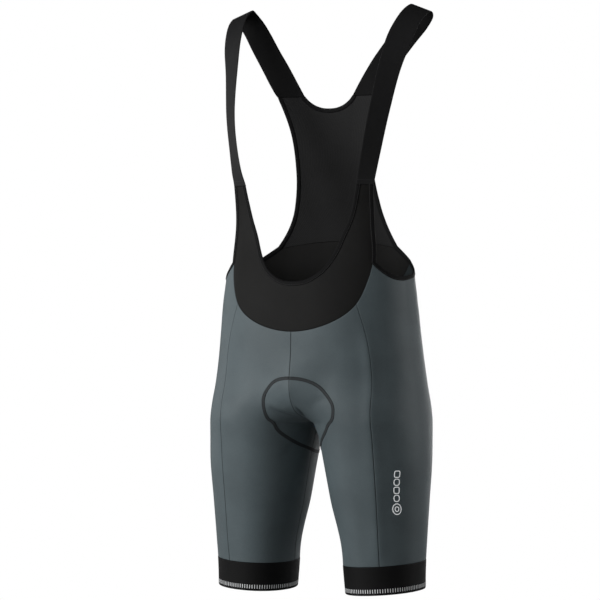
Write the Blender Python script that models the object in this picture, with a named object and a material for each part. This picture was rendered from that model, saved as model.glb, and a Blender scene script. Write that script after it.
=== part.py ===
# Cycling bib shorts, men's size M, filled out as worn with nobody in them.
# Tables and constants are in millimetres and the meshes in metres. +Z is up, the front
# faces -Y and the wearer's left is +X. The origin lies midway between the two shoulder
# crowns, level with the underside of the straps there.

import bpy
import bmesh
import numpy as np

MM = 0.001

CLOTH = 1.5            # wall of the stretch cloth
NET = 1.2              # wall of the back net
ELASTIC = 1.6          # wall of the straps
CUFF = 2.0             # wall of the leg grippers
SEAM = 0.3             # left open between two pieces that are sewn together
BINDING_WIDTH = 5.0
BINDING_WALL = 2.4
BINDING_PROUD = 0.4    # how far a binding stands over the cloth that it edges
PAD_CLEAR = 4.5        # from the shell's inner face to the pad
PAD_WALL = 6.0         # pad, in its middle
PAD_EDGE = 2.0         # pad, at its rim
PAD_FRONT = -592.0     # heights of the pad's two ends
PAD_BACK = -506.0

RISE_START = -590.0    # where the front and back seams start to curve under
RISE_EASE = 0.45       # share of the rise over which that starts
CROTCH = -670.0        # the lowest point between the legs
EVEN_FROM = -560.0     # between these heights the way round grows from half a turn to a whole one
EVEN_TO = -780.0
ARCH_RADIUS = 1.6      # roundness of the arch between them
CUFF_SEAM = -898.0
HEM = -944.0
HEM_RISE = 3.5         # the hems rise by this to the outer side, and again to the back
NET_TOP = -136.0       # seam between the net and the straps


def smooth(xs, ys, at, parity=0):
    """A curve through (xs, ys): each span is a cubic whose end slopes are those of the parabola
    through three neighbours. Parity 1 or -1 mirrors the curve about its first point."""
    xs, ys, at = np.asarray(xs, float), np.asarray(ys, float), np.asarray(at, float)
    if parity:
        xs = np.insert(xs, 0, 2 * xs[0] - xs[1])
        ys = np.insert(ys, 0, ys[1] if parity > 0 else 2 * ys[0] - ys[1])
    span = np.diff(xs)
    rate = np.diff(ys) / span
    slope = np.empty_like(xs)
    slope[1:-1] = (rate[:-1] * span[1:] + rate[1:] * span[:-1]) / (span[:-1] + span[1:])
    slope[0] = 2 * rate[0] - slope[1]
    slope[-1] = 2 * rate[-1] - slope[-2]
    i = np.clip(np.searchsorted(xs, at) - 1, 0, len(span) - 1)
    h = span[i]
    t = (at - xs[i]) / h
    return ((2 * t ** 3 - 3 * t ** 2 + 1) * ys[i] + (t ** 3 - 2 * t ** 2 + t) * h * slope[i]
            + (3 * t ** 2 - 2 * t ** 3) * ys[i + 1] + (t ** 3 - t ** 2) * h * slope[i + 1])


class Table:
    """A short table with named columns, read as smooth curves of its first column. Columns named
    in odd or even are mirrored about the first row."""

    def __init__(self, columns, rows, odd="", even=""):
        self.columns = columns.split()
        self.rows = np.array(rows, float)
        self.parity = {name: -1 for name in odd.split()} | {name: 1 for name in even.split()}

    def read(self, name, at):
        column = self.rows[:, self.columns.index(name)]
        return smooth(self.rows[:, 0], column, at, self.parity.get(name, 0))


# Level sections of the body and legs. half_width runs to the outer side; front, centre and back
# are depths; power is the superellipse exponent.
SECTIONS = Table("height half_width front centre back power", [
    (-944, 180.0, -105.5, -37, 31.0, 2.05),
    (-898, 180.5, -109.0, -38, 35.0, 2.05),
    (-862, 182.3, -114.0, -39, 40.0, 2.05),
    (-797, 185.5, -124.0, -41, 51.0, 2.1),
    (-732, 189.0, -135.0, -42, 61.0, 2.1),
    (-700, 188.3, -140.5, -41, 67.0, 2.1),
    (-670, 186.0, -146.0, -40, 72.0, 2.2),
    (-640, 183.5, -150.0, -39, 75.0, 2.25),
    (-604, 179.5, -152.5, -38, 75.0, 2.3),
    (-560, 173.5, -153.0, -37, 68.0, 2.35),
    (-522, 169.3, -152.5, -37, 59.0, 2.4),
    (-476, 165.5, -150.0, -37, 51.0, 2.4),
    (-439, 161.0, -145.0, -37, 46.0, 2.4),
    (-410, 158.5, -137.5, -37, 43.5, 2.4),
    (-391, 158.5, -132.0, -38, 42.5, 2.4),
    (-343, 160.0, -125.0, -40, 38.0, 2.4),
    (-287, 165.0, -129.0, -43, 26.0, 2.4),
    (-231, 168.0, -138.0, -43, 11.0, 2.4),
    (-136, 165.0, -138.0, -43, -7.0, 2.4),
])

# Lines across the front bib, from its lower edge to the neckline.
BIB = Table("along low_x low_z neck_x neck_z", [
    (0.00, 0.0, -522.0, 0.0, -446.0),
    (0.15, 48.0, -514.5, 27.0, -441.5),
    (0.25, 76.0, -503.0, 44.5, -431.0),
    (0.40, 106.0, -477.5, 60.0, -414.0),
    (0.54, 120.5, -439.0, 71.5, -392.0),
    (0.64, 124.5, -411.0, 79.5, -370.0),
    (0.82, 120.0, -348.0, 92.5, -336.0),
    (1.00, 120.5, -286.0, 104.0, -286.0),
], odd="low_x neck_x", even="low_z neck_z")
SIDE_FRONT_AT = 0.40   # where the side-front seam meets the bib
ARMHOLE_AT = 0.64      # where the armhole meets the bib

# How far the legs part below the crotch, beside the roundness of the arch.
PARTING = Table("height spread", [
    (-944, 42.0), (-904, 39.6), (-886, 39.2), (-868, 37.5), (-844, 32.5), (-804, 22.3),
    (-765, 15.6), (-726, 9.6), (-670, 0.0),
])

# The side-front seam.
SIDE_FRONT = Table("height x", [
    (-944, 134.0), (-830, 135.0), (-716, 135.0), (-650, 133.0), (-584, 129.0), (-520, 119.0),
    (-477.5, 106.0),
])

# The armhole's lower edge, from the bib round the side to the back yoke.
ARMHOLE = Table("share height", [
    (0.268, -411.0), (0.32, -426.0), (0.372, -435.0), (0.43, -438.0), (0.50, -435.0),
    (0.60, -425.5), (0.682, -411.0),
])

# Lines across the back yoke, from the seam with the shorts to the seam with the net.
YOKE = Table("along low_x low_z high_x high_z", [
    (0.00, 0.0, -458.0, 0.0, -375.0),
    (0.33, 48.0, -456.0, 35.0, -376.5),
    (0.62, 90.0, -448.5, 66.0, -380.0),
    (0.83, 119.0, -434.0, 88.0, -383.5),
    (1.00, 138.0, -411.0, 106.0, -387.0),
], odd="low_x high_x", even="low_z high_z")

# The net's armhole edge and its scooped top.
NET_EDGE = Table("height half_width", [
    (-387, 106.0), (-366, 92.5), (-332, 77.5), (-307, 71.5), (-274, 66.5), (-250, 65.0),
    (-225, 65.0), (-193, 68.5), (-159, 78.0), (-136, 87.0),
])
SCOOP = Table("half_width height", [
    (0.0, -160.5), (17.0, -158.5), (32.0, -152.0), (42.5, -143.5), (48.5, -136.0),
], even="height")

# The pad's outline, front end first.
PAD = Table("along half_width", [
    (0.000, 14.0), (0.033, 44.0), (0.076, 59.0), (0.120, 67.5), (0.164, 69.6), (0.250, 66.5),
    (0.340, 59.5), (0.430, 58.0), (0.514, 63.0), (0.557, 72.0), (0.601, 92.0), (0.645, 105.0),
    (0.732, 112.0), (0.820, 109.0), (0.907, 92.0), (0.951, 72.0), (1.000, 22.0),
])

# Lines across the left strap, from its neck edge to its armhole edge.
STRAP = Table("along neck_x neck_y neck_z arm_x arm_y arm_z", [
    (0, 99, -117.3, -286, 125.5, -106.5, -286),
    (1, 110.5, -122, -229, 135, -101, -232),
    (2, 120, -114, -165, 146, -92, -170),
    (3, 127, -88, -86, 158, -71, -97),
    (3.6, 132, -68, -44, 168, -55, -57),
    (4.2, 138.5, -38, -10, 174, -35, -25),
    (4.7, 142, -13, 6, 178, -13, -8),
    (5.0, 144, 2, 11, 180, 2, -3),
    (5.3, 142, 13, 5, 178, 12, -10),
    (5.7, 131, 14, -8, 167, 14, -27),
    (6.2, 114.5, 5, -27, 149.5, 5, -52),
    (7.0, 93, -4, -57, 126, -4, -86),
    (7.8, 70, -8, -91, 105, -9, -119),
    (8.5, 43.5, -7.6, -136, 92, -11.0, -136),
])


def eased(t):
    """0 to 1: a parabola over the rise's ease, then its tangent."""
    t = np.clip(t, 0, 1)
    return np.where(t < RISE_EASE, t * t / (2 * RISE_EASE), t - RISE_EASE / 2) / (1 - RISE_EASE / 2)


def body(share, height):
    """Points of the left half of the garment. share runs round from the front seam or inseam (0),
    by the outer side (0.5), to the back seam or inseam (1)."""
    share, height = np.broadcast_arrays(np.asarray(share, float), np.asarray(height, float))
    wide, front, centre, back, power = (
        SECTIONS.read(name, height) for name in ("half_width", "front", "centre", "back", "power"))
    closed = eased((RISE_START - height) / (RISE_START - CROTCH))
    drop = np.clip(CROTCH - height, 0, None)
    spread = np.where(drop > 0, PARTING.read("spread", height), 0)
    gap = np.sqrt(spread ** 2 + 2 * ARCH_RADIUS * drop)
    reach = closed ** (2 / power)
    radius = np.where(drop > 0, (wide - gap) / 2, wide / (1 + reach))
    middle = np.where(drop > 0, (wide + gap) / 2, radius * reach)
    start = np.pi / 2 + np.arcsin(closed)
    ease = np.clip((EVEN_FROM - height) / (EVEN_FROM - EVEN_TO), 0, 1)
    even = np.pi / 2 * (1 + ease * ease * (3 - 2 * ease))
    turn = 2 * share - 1
    angle = even * turn + (start - even) * turn * np.abs(turn) ** 3
    c, s = np.cos(angle), np.sin(angle)
    x = middle + radius * np.sign(c) * np.abs(c) ** (2 / power)
    y = centre + np.where(s < 0, centre - front, back - centre) * np.sign(s) * np.abs(s) ** (2 / power)
    x = np.where((closed < 1) & ((share == 0) | (share == 1)), 0.0, x)
    return np.stack([x, y, height], -1)


def sheet(x, height, back=False):
    """Points of the same form given by x and height, on its front or its back."""
    wide, front, centre, rear, power = (
        SECTIONS.read(name, height) for name in ("half_width", "front", "centre", "back", "power"))
    depth = np.clip(1 - np.abs(x / wide) ** power, 0, 1) ** (1 / power)
    y = centre + (rear - centre) * depth if back else centre - (centre - front) * depth
    return np.stack(np.broadcast_arrays(x, y, height), -1)


def share_of(x, height, back=False):
    """The share of the way round at which the form's front, or its back, passes x."""
    x, height = np.broadcast_arrays(np.asarray(x, float), np.asarray(height, float))
    inner, outer = np.full(x.shape, 1.0 if back else 0.0), np.full(x.shape, 0.5)
    for _ in range(40):
        half = (inner + outer) / 2
        short = body(half, height)[..., 0] < x
        inner, outer = np.where(short, half, inner), np.where(short, outer, half)
    return (inner + outer) / 2


def level(share, height):
    """Height of a hem or cuff seam, which rises to the outer side and to the back."""
    angle = np.pi * (2 * share - 1)
    return height + HEM_RISE * (np.cos(angle) + np.sin(angle))


def fill(top, bottom, left, right):
    """A grid between four edges: rows run from top to bottom, columns from left to right."""
    u = np.linspace(0, 1, len(top))[None, :, None]
    v = np.linspace(0, 1, len(left))[:, None, None]
    ruled = (1 - v) * top[None] + v * bottom[None] + (1 - u) * left[:, None] + u * right[:, None]
    corners = ((1 - v) * ((1 - u) * top[0] + u * top[-1])
               + v * ((1 - u) * bottom[0] + u * bottom[-1]))
    return ruled - corners


def pair(a, b):
    return np.stack(np.broadcast_arrays(a, b), -1).astype(float)


def face_normals(grid):
    """Area-weighted normals of a grid's cells, from their diagonals."""
    return np.cross(grid[1:, :-1] - grid[:-1, 1:], grid[1:, 1:] - grid[:-1, :-1])


def shared_normals(grids):
    """Unit normals at the points of several grids that meet along seams. A point that two or more
    grids share gets one normal, so their walls turn in together."""
    points, sums = [], []
    for grid in grids:
        cell, total = face_normals(grid), np.zeros_like(grid)
        for rows in (slice(None, -1), slice(1, None)):
            for cols in (slice(None, -1), slice(1, None)):
                total[rows, cols] += cell
        points.append(grid.reshape(-1, 3))
        sums.append(total.reshape(-1, 3))
    _, same = np.unique(np.round(np.concatenate(points), 2), axis=0, return_inverse=True)
    same = same.ravel()
    joined = np.zeros((same.max() + 1, 3))
    np.add.at(joined, same, np.concatenate(sums))
    joined /= np.linalg.norm(joined, axis=1, keepdims=True)
    ends = np.cumsum([grid.shape[0] * grid.shape[1] for grid in grids])[:-1]
    return [n.reshape(grid.shape) for n, grid in zip(np.split(joined[same], ends), grids)]


def edge_of(grid, normal, side, part=slice(None)):
    """An edge of a grid, or part of one: its points, the unit directions out of the panel along
    the cloth, and the normals."""
    first, step = (0, 1) if side in ("top", "left") else (-1, -2)
    in_row = side in ("top", "bottom")
    at, by = (np.s_[line, part] if in_row else np.s_[part, line] for line in (first, step))
    edge = grid[at]
    out = np.cross(np.gradient(edge, axis=0), normal[at])
    out /= np.linalg.norm(out, axis=1, keepdims=True)
    if np.sum(out * (edge - grid[by])) < 0:
        out = -out
    return edge, out, normal[at]


def trim(grid, normal, sides):
    """Moves the named edges of a grid in by half a seam gap."""
    moved = {"top": np.s_[0, :], "bottom": np.s_[-1, :], "left": np.s_[:, 0], "right": np.s_[:, -1]}
    trimmed = grid.copy()
    for side in sides.split():
        trimmed[moved[side]] -= edge_of(grid, normal, side)[1] * SEAM / 2
    return trimmed


def material(name, colour, roughness):
    mat = bpy.data.materials.new(name)
    mat.use_nodes = True
    shader = mat.node_tree.nodes["Principled BSDF"]
    shader.inputs["Base Color"].default_value = (*colour, 1)
    shader.inputs["Roughness"].default_value = roughness
    shader.inputs["Metallic"].default_value = 0
    return mat


def add_object(name, points, faces, look):
    mesh = bpy.data.meshes.new(name)
    mesh.from_pydata((points * MM).tolist(), [], faces)
    shape = bmesh.new()
    shape.from_mesh(mesh)
    bmesh.ops.recalc_face_normals(shape, faces=shape.faces)
    shape.to_mesh(mesh)
    shape.free()
    mesh.shade_smooth()
    mesh.set_sharp_from_angle(angle=np.radians(40))
    mesh.materials.append(material(name, *look))
    bpy.context.collection.objects.link(bpy.data.objects.new(name, mesh))


def wall(name, outer, inner, look, ring=False):
    """A closed wall between two grids of the same size. A ring also joins its last column to its
    first."""
    rows, cols = outer.shape[:2]
    points = np.concatenate([outer.reshape(-1, 3), inner.reshape(-1, 3)])
    back = rows * cols
    spans = cols if ring else cols - 1
    faces = []
    for r in range(rows - 1):
        for c in range(spans):
            a, b = r * cols + c, r * cols + (c + 1) % cols
            faces.append((a, b, b + cols, a + cols))
            faces.append((back + a, back + a + cols, back + b + cols, back + b))
    rim = [(c, (c + 1) % cols) for c in range(spans)]
    rim += [((rows - 1) * cols + (c + 1) % cols, (rows - 1) * cols + c) for c in range(spans)]
    if not ring:
        rim += [((r + 1) * cols, r * cols) for r in range(rows - 1)]
        rim += [(r * cols + cols - 1, (r + 1) * cols + cols - 1) for r in range(rows - 1)]
    faces += [(a, back + a, back + b, b) for a, b in rim]
    return add_object(name, points, faces, look)


def cloth(name, grid, normal, thick, look):
    """A panel: its outer face is the grid, trimmed at its seams, and its wall goes inwards. A grid
    that ends in the column where it began is a ring."""
    ring = bool(np.allclose(grid[:, 0], grid[:, -1]))
    outer = trim(grid, normal, "top bottom" if ring else "top bottom left right")
    inner = outer - normal * thick
    if ring:
        outer, inner = outer[:, :-1], inner[:, :-1]
    wall(name, outer, inner, look, ring)


def mirrored(grid):
    """The other side's grid, its columns turned round so that its normals still point out."""
    return (grid * (-1, 1, 1))[:, ::-1]


def edging(name, runs, look, other_side=None):
    """A binding along edges that follow one another. It is mitred where two of them meet, and its
    ends are cut level, under the straps."""
    edge, out, normal = runs[0]
    for next_edge, next_out, next_normal in runs[1:]:
        corner = (out[-1] + next_out[0]) / 2
        corner /= np.dot(corner, corner)
        edge = np.concatenate([edge, next_edge[1:]])
        out = np.concatenate([out[:-1], corner[None], next_out[1:]])
        normal = np.concatenate([normal, next_normal[1:]])
    edge, out = edge.copy(), out.copy()
    for end in (0, -1):
        edge[end, 2] -= SEAM / 2
        out[end, 2] = 0
        out[end] /= np.linalg.norm(out[end])
    outer = np.stack([edge + out * SEAM / 2, edge + out * BINDING_WIDTH]) + normal * BINDING_PROUD
    inner = outer - normal * BINDING_WALL
    wall(name, outer, inner, look)
    if other_side:
        wall(other_side, mirrored(outer), mirrored(inner), look)


GREY = (0.115, 0.135, 0.143), 0.6
BLACK = (0.012, 0.012, 0.013), 0.6
BAND = (0.016, 0.016, 0.017), 0.5
MESHWORK = (0.010, 0.010, 0.011), 0.75
PAD_BLUE = (0.012, 0.14, 0.50), 0.7

# Numbers of spans along the seams. Both pieces at a seam take the same ones.
BIB_TO_SIDE_FRONT = 8
BIB_TO_ARMHOLE = 4
BIB_TO_STRAP = 5
TORSO_ROWS = 6
RISE_ROWS = 6
LEG_ROWS = 10
ARMHOLE_SPANS = 8
YOKE_SPANS = 6
SCOOP_SPANS = 4
NET_ROWS = 12
PAD_ROWS = 18
PAD_SPANS = 10
LINE_POINTS = 60       # points in which the crotch line is measured, up each side
RING_POINTS = 41       # and the way half round a leg or the hips
STRAP_SPANS = (0, 3, 6), (3.35, 6.2, 10), (6.7, 8.5, 4)    # stretches of the strap's table, spans in each


def bib_points():
    """The bib's grid: a row for each line across it, from one strap to the other."""
    half = np.concatenate([
        np.linspace(0, SIDE_FRONT_AT, BIB_TO_SIDE_FRONT + 1),
        np.linspace(SIDE_FRONT_AT, ARMHOLE_AT, BIB_TO_ARMHOLE + 1)[1:],
        np.linspace(ARMHOLE_AT, 1, BIB_TO_STRAP + 1)[1:]])
    low = pair(BIB.read("low_x", half), BIB.read("low_z", half))
    neck = pair(BIB.read("neck_x", half), BIB.read("neck_z", half))
    across = np.linspace(0, 1, 5)[:, None, None]
    flat = (1 - across) * neck[None] + across * low[None]
    flat = np.concatenate([flat[:, :0:-1] * (-1, 1), flat], axis=1)
    return sheet(flat[..., 0], flat[..., 1])


def bib_edge(start, stop, spans):
    """Share and height along the bib's lower edge."""
    at = np.linspace(start, stop, spans + 1)
    x, height = BIB.read("low_x", at), BIB.read("low_z", at)
    return pair(share_of(x, height), height)


def side_front(height):
    return share_of(SIDE_FRONT.read("x", height), height)


def inseam_heights():
    rise = RISE_START + (CROTCH - RISE_START) * np.sin(np.linspace(0, np.pi / 2, RISE_ROWS + 1))
    leg = CROTCH + (level(0.0, CUFF_SEAM) - CROTCH) * np.linspace(0, 1, LEG_ROWS + 1) ** 1.6
    return rise, leg


def side_front_heights():
    top = BIB.read("low_z", SIDE_FRONT_AT)
    foot = level(side_front(CUFF_SEAM), CUFF_SEAM)
    upper = np.linspace(top, CROTCH - 8, TORSO_ROWS + RISE_ROWS + 1)
    lower = np.linspace(0, 1, LEG_ROWS + 1)[1:] ** 1.15
    return np.concatenate([upper, CROTCH - 8 + (foot - CROTCH + 8) * lower])


def front_points():
    top = bib_edge(0, SIDE_FRONT_AT, BIB_TO_SIDE_FRONT)
    rise, leg = inseam_heights()
    torso = np.linspace(top[0, 1], RISE_START, TORSO_ROWS + 1)
    left = pair(0.0, np.concatenate([torso, rise[1:], leg[1:]]))
    heights = side_front_heights()
    right = pair(side_front(heights), heights)
    right[0] = top[-1]
    share = np.linspace(0, right[-1, 0], len(top))
    flat = fill(top, pair(share, level(share, CUFF_SEAM)), left, right)
    flat[:, 0, 0] = 0
    return body(flat[..., 0], flat[..., 1])


def side_points():
    corner = bib_edge(SIDE_FRONT_AT, ARMHOLE_AT, BIB_TO_ARMHOLE)
    heights = side_front_heights()
    seam = pair(side_front(heights), heights)
    left = np.concatenate([corner[::-1], seam[1:]])
    at = np.linspace(1, 0, YOKE_SPANS + 1)
    x, height = YOKE.read("low_x", at), YOKE.read("low_z", at)
    yoke = pair(share_of(x, height, back=True), height)
    share = np.linspace(left[0, 0], yoke[0, 0], ARMHOLE_SPANS + 1)
    top = np.concatenate([pair(share, ARMHOLE.read("height", share))[:-1], yoke])
    top[0] = left[0]
    rise, leg = inseam_heights()
    torso = np.linspace(top[-1, 1], RISE_START, TORSO_ROWS + BIB_TO_ARMHOLE + 1)
    right = pair(1.0, np.concatenate([torso, rise[1:], leg[1:]]))
    share = np.linspace(left[-1, 0], 1, len(top))
    flat = fill(top, pair(share, level(share, CUFF_SEAM)), left, right)
    flat[:, -1, 0] = 1
    return body(flat[..., 0], flat[..., 1])


def cuff_points():
    """One leg's cuff, its columns on those of the panels above. The last column repeats the
    first."""
    front = np.linspace(0, side_front(side_front_heights()[-1]), BIB_TO_SIDE_FRONT + 1)
    side = np.linspace(front[-1], 1, ARMHOLE_SPANS + YOKE_SPANS + 1)[1:]
    share = np.concatenate([front, side])
    return np.stack([body(share, level(share, height)) for height in np.linspace(CUFF_SEAM, HEM, 3)])


def yoke_points():
    at = np.linspace(0, 1, YOKE_SPANS + 1)
    low = pair(YOKE.read("low_x", at), YOKE.read("low_z", at))
    high = pair(YOKE.read("high_x", at), YOKE.read("high_z", at))
    across = np.linspace(0, 1, 4)[:, None, None]
    flat = (1 - across) * high[None] + across * low[None]
    flat = np.concatenate([flat[:, :0:-1], flat * (-1, 1)], axis=1)
    return sheet(flat[..., 0], flat[..., 1], back=True)


def net_points():
    at = np.linspace(0, 1, YOKE_SPANS + 1)
    low = pair(YOKE.read("high_x", at), YOKE.read("high_z", at))
    scoop = np.linspace(0, SCOOP.rows[-1, 0], SCOOP_SPANS + 1)
    seam = np.linspace(scoop[-1], NET_EDGE.read("half_width", NET_TOP), YOKE_SPANS - SCOOP_SPANS + 1)
    high = pair(np.r_[scoop, seam[1:]], np.r_[SCOOP.read("height", scoop), NET_TOP + 0 * seam[1:]])
    heights = np.linspace(NET_TOP, low[-1, 1], NET_ROWS + 1)
    edge = pair(NET_EDGE.read("half_width", heights), heights)
    middle = pair(0.0, np.linspace(high[0, 1], low[0, 1], NET_ROWS + 1))
    half = fill(high, low, middle, edge)
    flat = np.concatenate([half[:, :0:-1], half * (-1, 1)], axis=1)
    return sheet(flat[..., 0], flat[..., 1], back=True)


def strap_points():
    at = np.concatenate([np.linspace(start, stop, spans + 1) for start, stop, spans in STRAP_SPANS])
    neck = np.stack([STRAP.read(name, at) for name in ("neck_x", "neck_y", "neck_z")], -1)
    arm = np.stack([STRAP.read(name, at) for name in ("arm_x", "arm_y", "arm_z")], -1)
    across = np.linspace(0, 1, 4)[None, :, None]
    return (1 - across) * neck[:, None] + across * arm[:, None]


def crotch_line():
    """The front seam, the crotch and the back seam in one line, from the pad's front end up the
    back: its points, the distance along it, and its slope angle under the level."""
    under = PAD_FRONT + (CROTCH - PAD_FRONT) * np.sin(np.linspace(0, np.pi / 2, LINE_POINTS))
    upward = np.linspace(PAD_FRONT, PAD_BACK, LINE_POINTS)
    front = body(0.0, under)
    back = body(1.0, np.concatenate([under[::-1], upward[1:]]))
    line = np.concatenate([front, back[1:]])
    step = np.linalg.norm(np.diff(line, axis=0), axis=1)
    return line, np.concatenate([[0], np.cumsum(step)]), len(front) - 1


def ring_share(run, height, back):
    """The share of the way round at a distance run along the cloth from the front seam or inseam,
    or from the back one."""
    share = np.linspace(0, 0.5, RING_POINTS)[:, None]
    ring = body(1 - share if back else share, height[None])
    gone = np.linalg.norm(np.diff(ring, axis=0), axis=2)
    gone = np.concatenate([np.zeros((1, len(height))), np.cumsum(gone, axis=0)])
    found = np.array([np.interp(r, g, share[:, 0]) for r, g in zip(run, gone.T)])
    return 1 - found if back else found


def pad_points():
    """The pad's place on the shorts' outer face: rows from its front end to its back end, columns
    across it from the wearer's right. It folds down both legs where the line runs level."""
    line, gone, lowest = crotch_line()
    along = gone[-1] * (1 - np.cos(np.linspace(0, np.pi, PAD_ROWS + 1))) / 2
    along = (along + np.linspace(0, gone[-1], PAD_ROWS + 1)) / 2
    height = np.interp(along, gone, line[:, 2])
    slope = np.abs(np.interp(along, gone, np.gradient(line[:, 1], gone)))
    half = PAD.read("half_width", along / gone[-1])
    across = np.linspace(0, 1, PAD_SPANS // 2 + 1) ** 1.5
    rows = []
    for z, s, h, at in zip(height, slope, half, along):
        wide = h * across
        back = at > gone[lowest]
        level_at = z - wide * s
        share = ring_share(wide * np.sqrt(np.clip(1 - s * s, 0, 1)), level_at, back)
        left = body(share, level_at)
        rows.append(np.concatenate([left[:0:-1] * (-1, 1, 1), left]))
    return np.stack(rows)


def add_pad(look):
    grid = pad_points()
    normal, = shared_normals([grid])
    outer = grid - normal * (CLOTH + PAD_CLEAR)
    rows = np.sin(np.linspace(0, np.pi, grid.shape[0]))[:, None, None]
    cols = np.sin(np.linspace(0, np.pi, grid.shape[1]))[None, :, None]
    thick = PAD_EDGE + (PAD_WALL - PAD_EDGE) * np.sqrt(rows * cols)
    wall("pad", outer, outer - normal * thick, look)


def main():
    for old in list(bpy.data.objects):
        bpy.data.objects.remove(old)
    front, side, strap = front_points(), side_points(), strap_points()
    cuff = cuff_points()
    panels = {
        "bib_front": (bib_points(), CLOTH, BLACK), "back_yoke": (yoke_points(), CLOTH, BLACK),
        "back_net": (net_points(), NET, MESHWORK),
        "front_left": (front, CLOTH, GREY), "front_right": (mirrored(front), CLOTH, GREY),
        "side_left": (side, CLOTH, GREY), "side_right": (mirrored(side), CLOTH, GREY),
        "strap_left": (strap, ELASTIC, BAND), "strap_right": (mirrored(strap), ELASTIC, BAND),
    }
    panels["cuff_left"] = cuff, CUFF, BLACK
    panels["cuff_right"] = mirrored(cuff), CUFF, BLACK
    turned = dict(zip(panels, shared_normals([grid for grid, _, _ in panels.values()])))
    for name, (grid, thick, look) in panels.items():
        cloth(name, grid, turned[name], thick, look)
    bib, side, yoke, net = (
        (panels[name][0], turned[name]) for name in ("bib_front", "side_left", "back_yoke", "back_net"))
    edging("binding_neck_front", [edge_of(*bib, "top")], BAND)
    scoop = slice(YOKE_SPANS - SCOOP_SPANS, YOKE_SPANS + SCOOP_SPANS + 1)
    edging("binding_neck_back", [edge_of(*net, "top", scoop)], BAND)
    edging("binding_armhole_left", [
        edge_of(*bib, "bottom", slice(-1, -BIB_TO_STRAP - 2, -1)),
        edge_of(*side, "top", slice(0, ARMHOLE_SPANS + 1)),
        edge_of(*yoke, "left", slice(None, None, -1)),
        edge_of(*net, "left", slice(None, None, -1)),
    ], BAND, other_side="binding_armhole_right")
    add_pad(PAD_BLUE)


main()
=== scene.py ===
import bpy
import numpy as np
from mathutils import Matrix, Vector


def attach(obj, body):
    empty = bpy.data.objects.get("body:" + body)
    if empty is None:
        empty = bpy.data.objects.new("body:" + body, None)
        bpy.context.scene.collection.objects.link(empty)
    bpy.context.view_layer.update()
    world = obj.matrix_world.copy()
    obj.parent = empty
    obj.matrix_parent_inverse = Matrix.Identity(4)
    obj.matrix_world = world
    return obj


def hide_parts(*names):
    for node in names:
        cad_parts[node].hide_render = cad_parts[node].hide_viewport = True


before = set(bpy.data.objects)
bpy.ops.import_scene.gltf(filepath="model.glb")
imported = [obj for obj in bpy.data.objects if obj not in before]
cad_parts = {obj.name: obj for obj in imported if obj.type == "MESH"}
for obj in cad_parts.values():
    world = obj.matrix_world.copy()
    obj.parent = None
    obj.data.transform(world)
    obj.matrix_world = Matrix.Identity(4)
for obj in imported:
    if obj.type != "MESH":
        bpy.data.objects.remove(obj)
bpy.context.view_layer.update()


def smoothCurve(xs, ys, at, parity=0):
    # each span is a cubic; its end slopes are those of the parabola through three neighbours,
    # and parity 1 or -1 mirrors the curve about its first point
    xs, ys, at = np.asarray(xs, float), np.asarray(ys, float), np.asarray(at, float)
    if parity:
        xs = np.insert(xs, 0, 2 * xs[0] - xs[1])
        ys = np.insert(ys, 0, ys[1] if parity > 0 else 2 * ys[0] - ys[1])
    span = np.diff(xs)
    rate = np.diff(ys) / span
    slope = np.empty_like(xs)
    slope[1:-1] = (rate[:-1] * span[1:] + rate[1:] * span[:-1]) / (span[:-1] + span[1:])
    slope[0] = 2 * rate[0] - slope[1]
    slope[-1] = 2 * rate[-1] - slope[-2]
    i = np.clip(np.searchsorted(xs, at) - 1, 0, len(span) - 1)
    h, t = span[i], (at - xs[i]) / span[i]
    return ((2 * t ** 3 - 3 * t ** 2 + 1) * ys[i] + (t ** 3 - 2 * t ** 2 + t) * h * slope[i]
            + (3 * t ** 2 - 2 * t ** 3) * ys[i + 1] + (t ** 3 - t ** 2) * h * slope[i + 1])


def column(table, name, at):
    # one column of a table, read as a smooth curve of the first column
    names = table["columns"].split()
    parity = -1 if name in table.get("odd", "").split() else int(name in table.get("even", "").split())
    rows = np.array(table["rows"], float)
    return smoothCurve(rows[:, 0], rows[:, names.index(name)], at, parity)


def ramp(x, low, high):
    # 3t^2 - 2t^3 from 0 at low to 1 at high, and held beyond them
    t = np.clip((x - low) / (high - low), 0, 1)
    return t * t * (3 - 2 * t)


def window(x, start, end):
    # up from 0 to 1 over start, and down again over end
    return ramp(x, *start) * (1 - ramp(x, *end))


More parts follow.
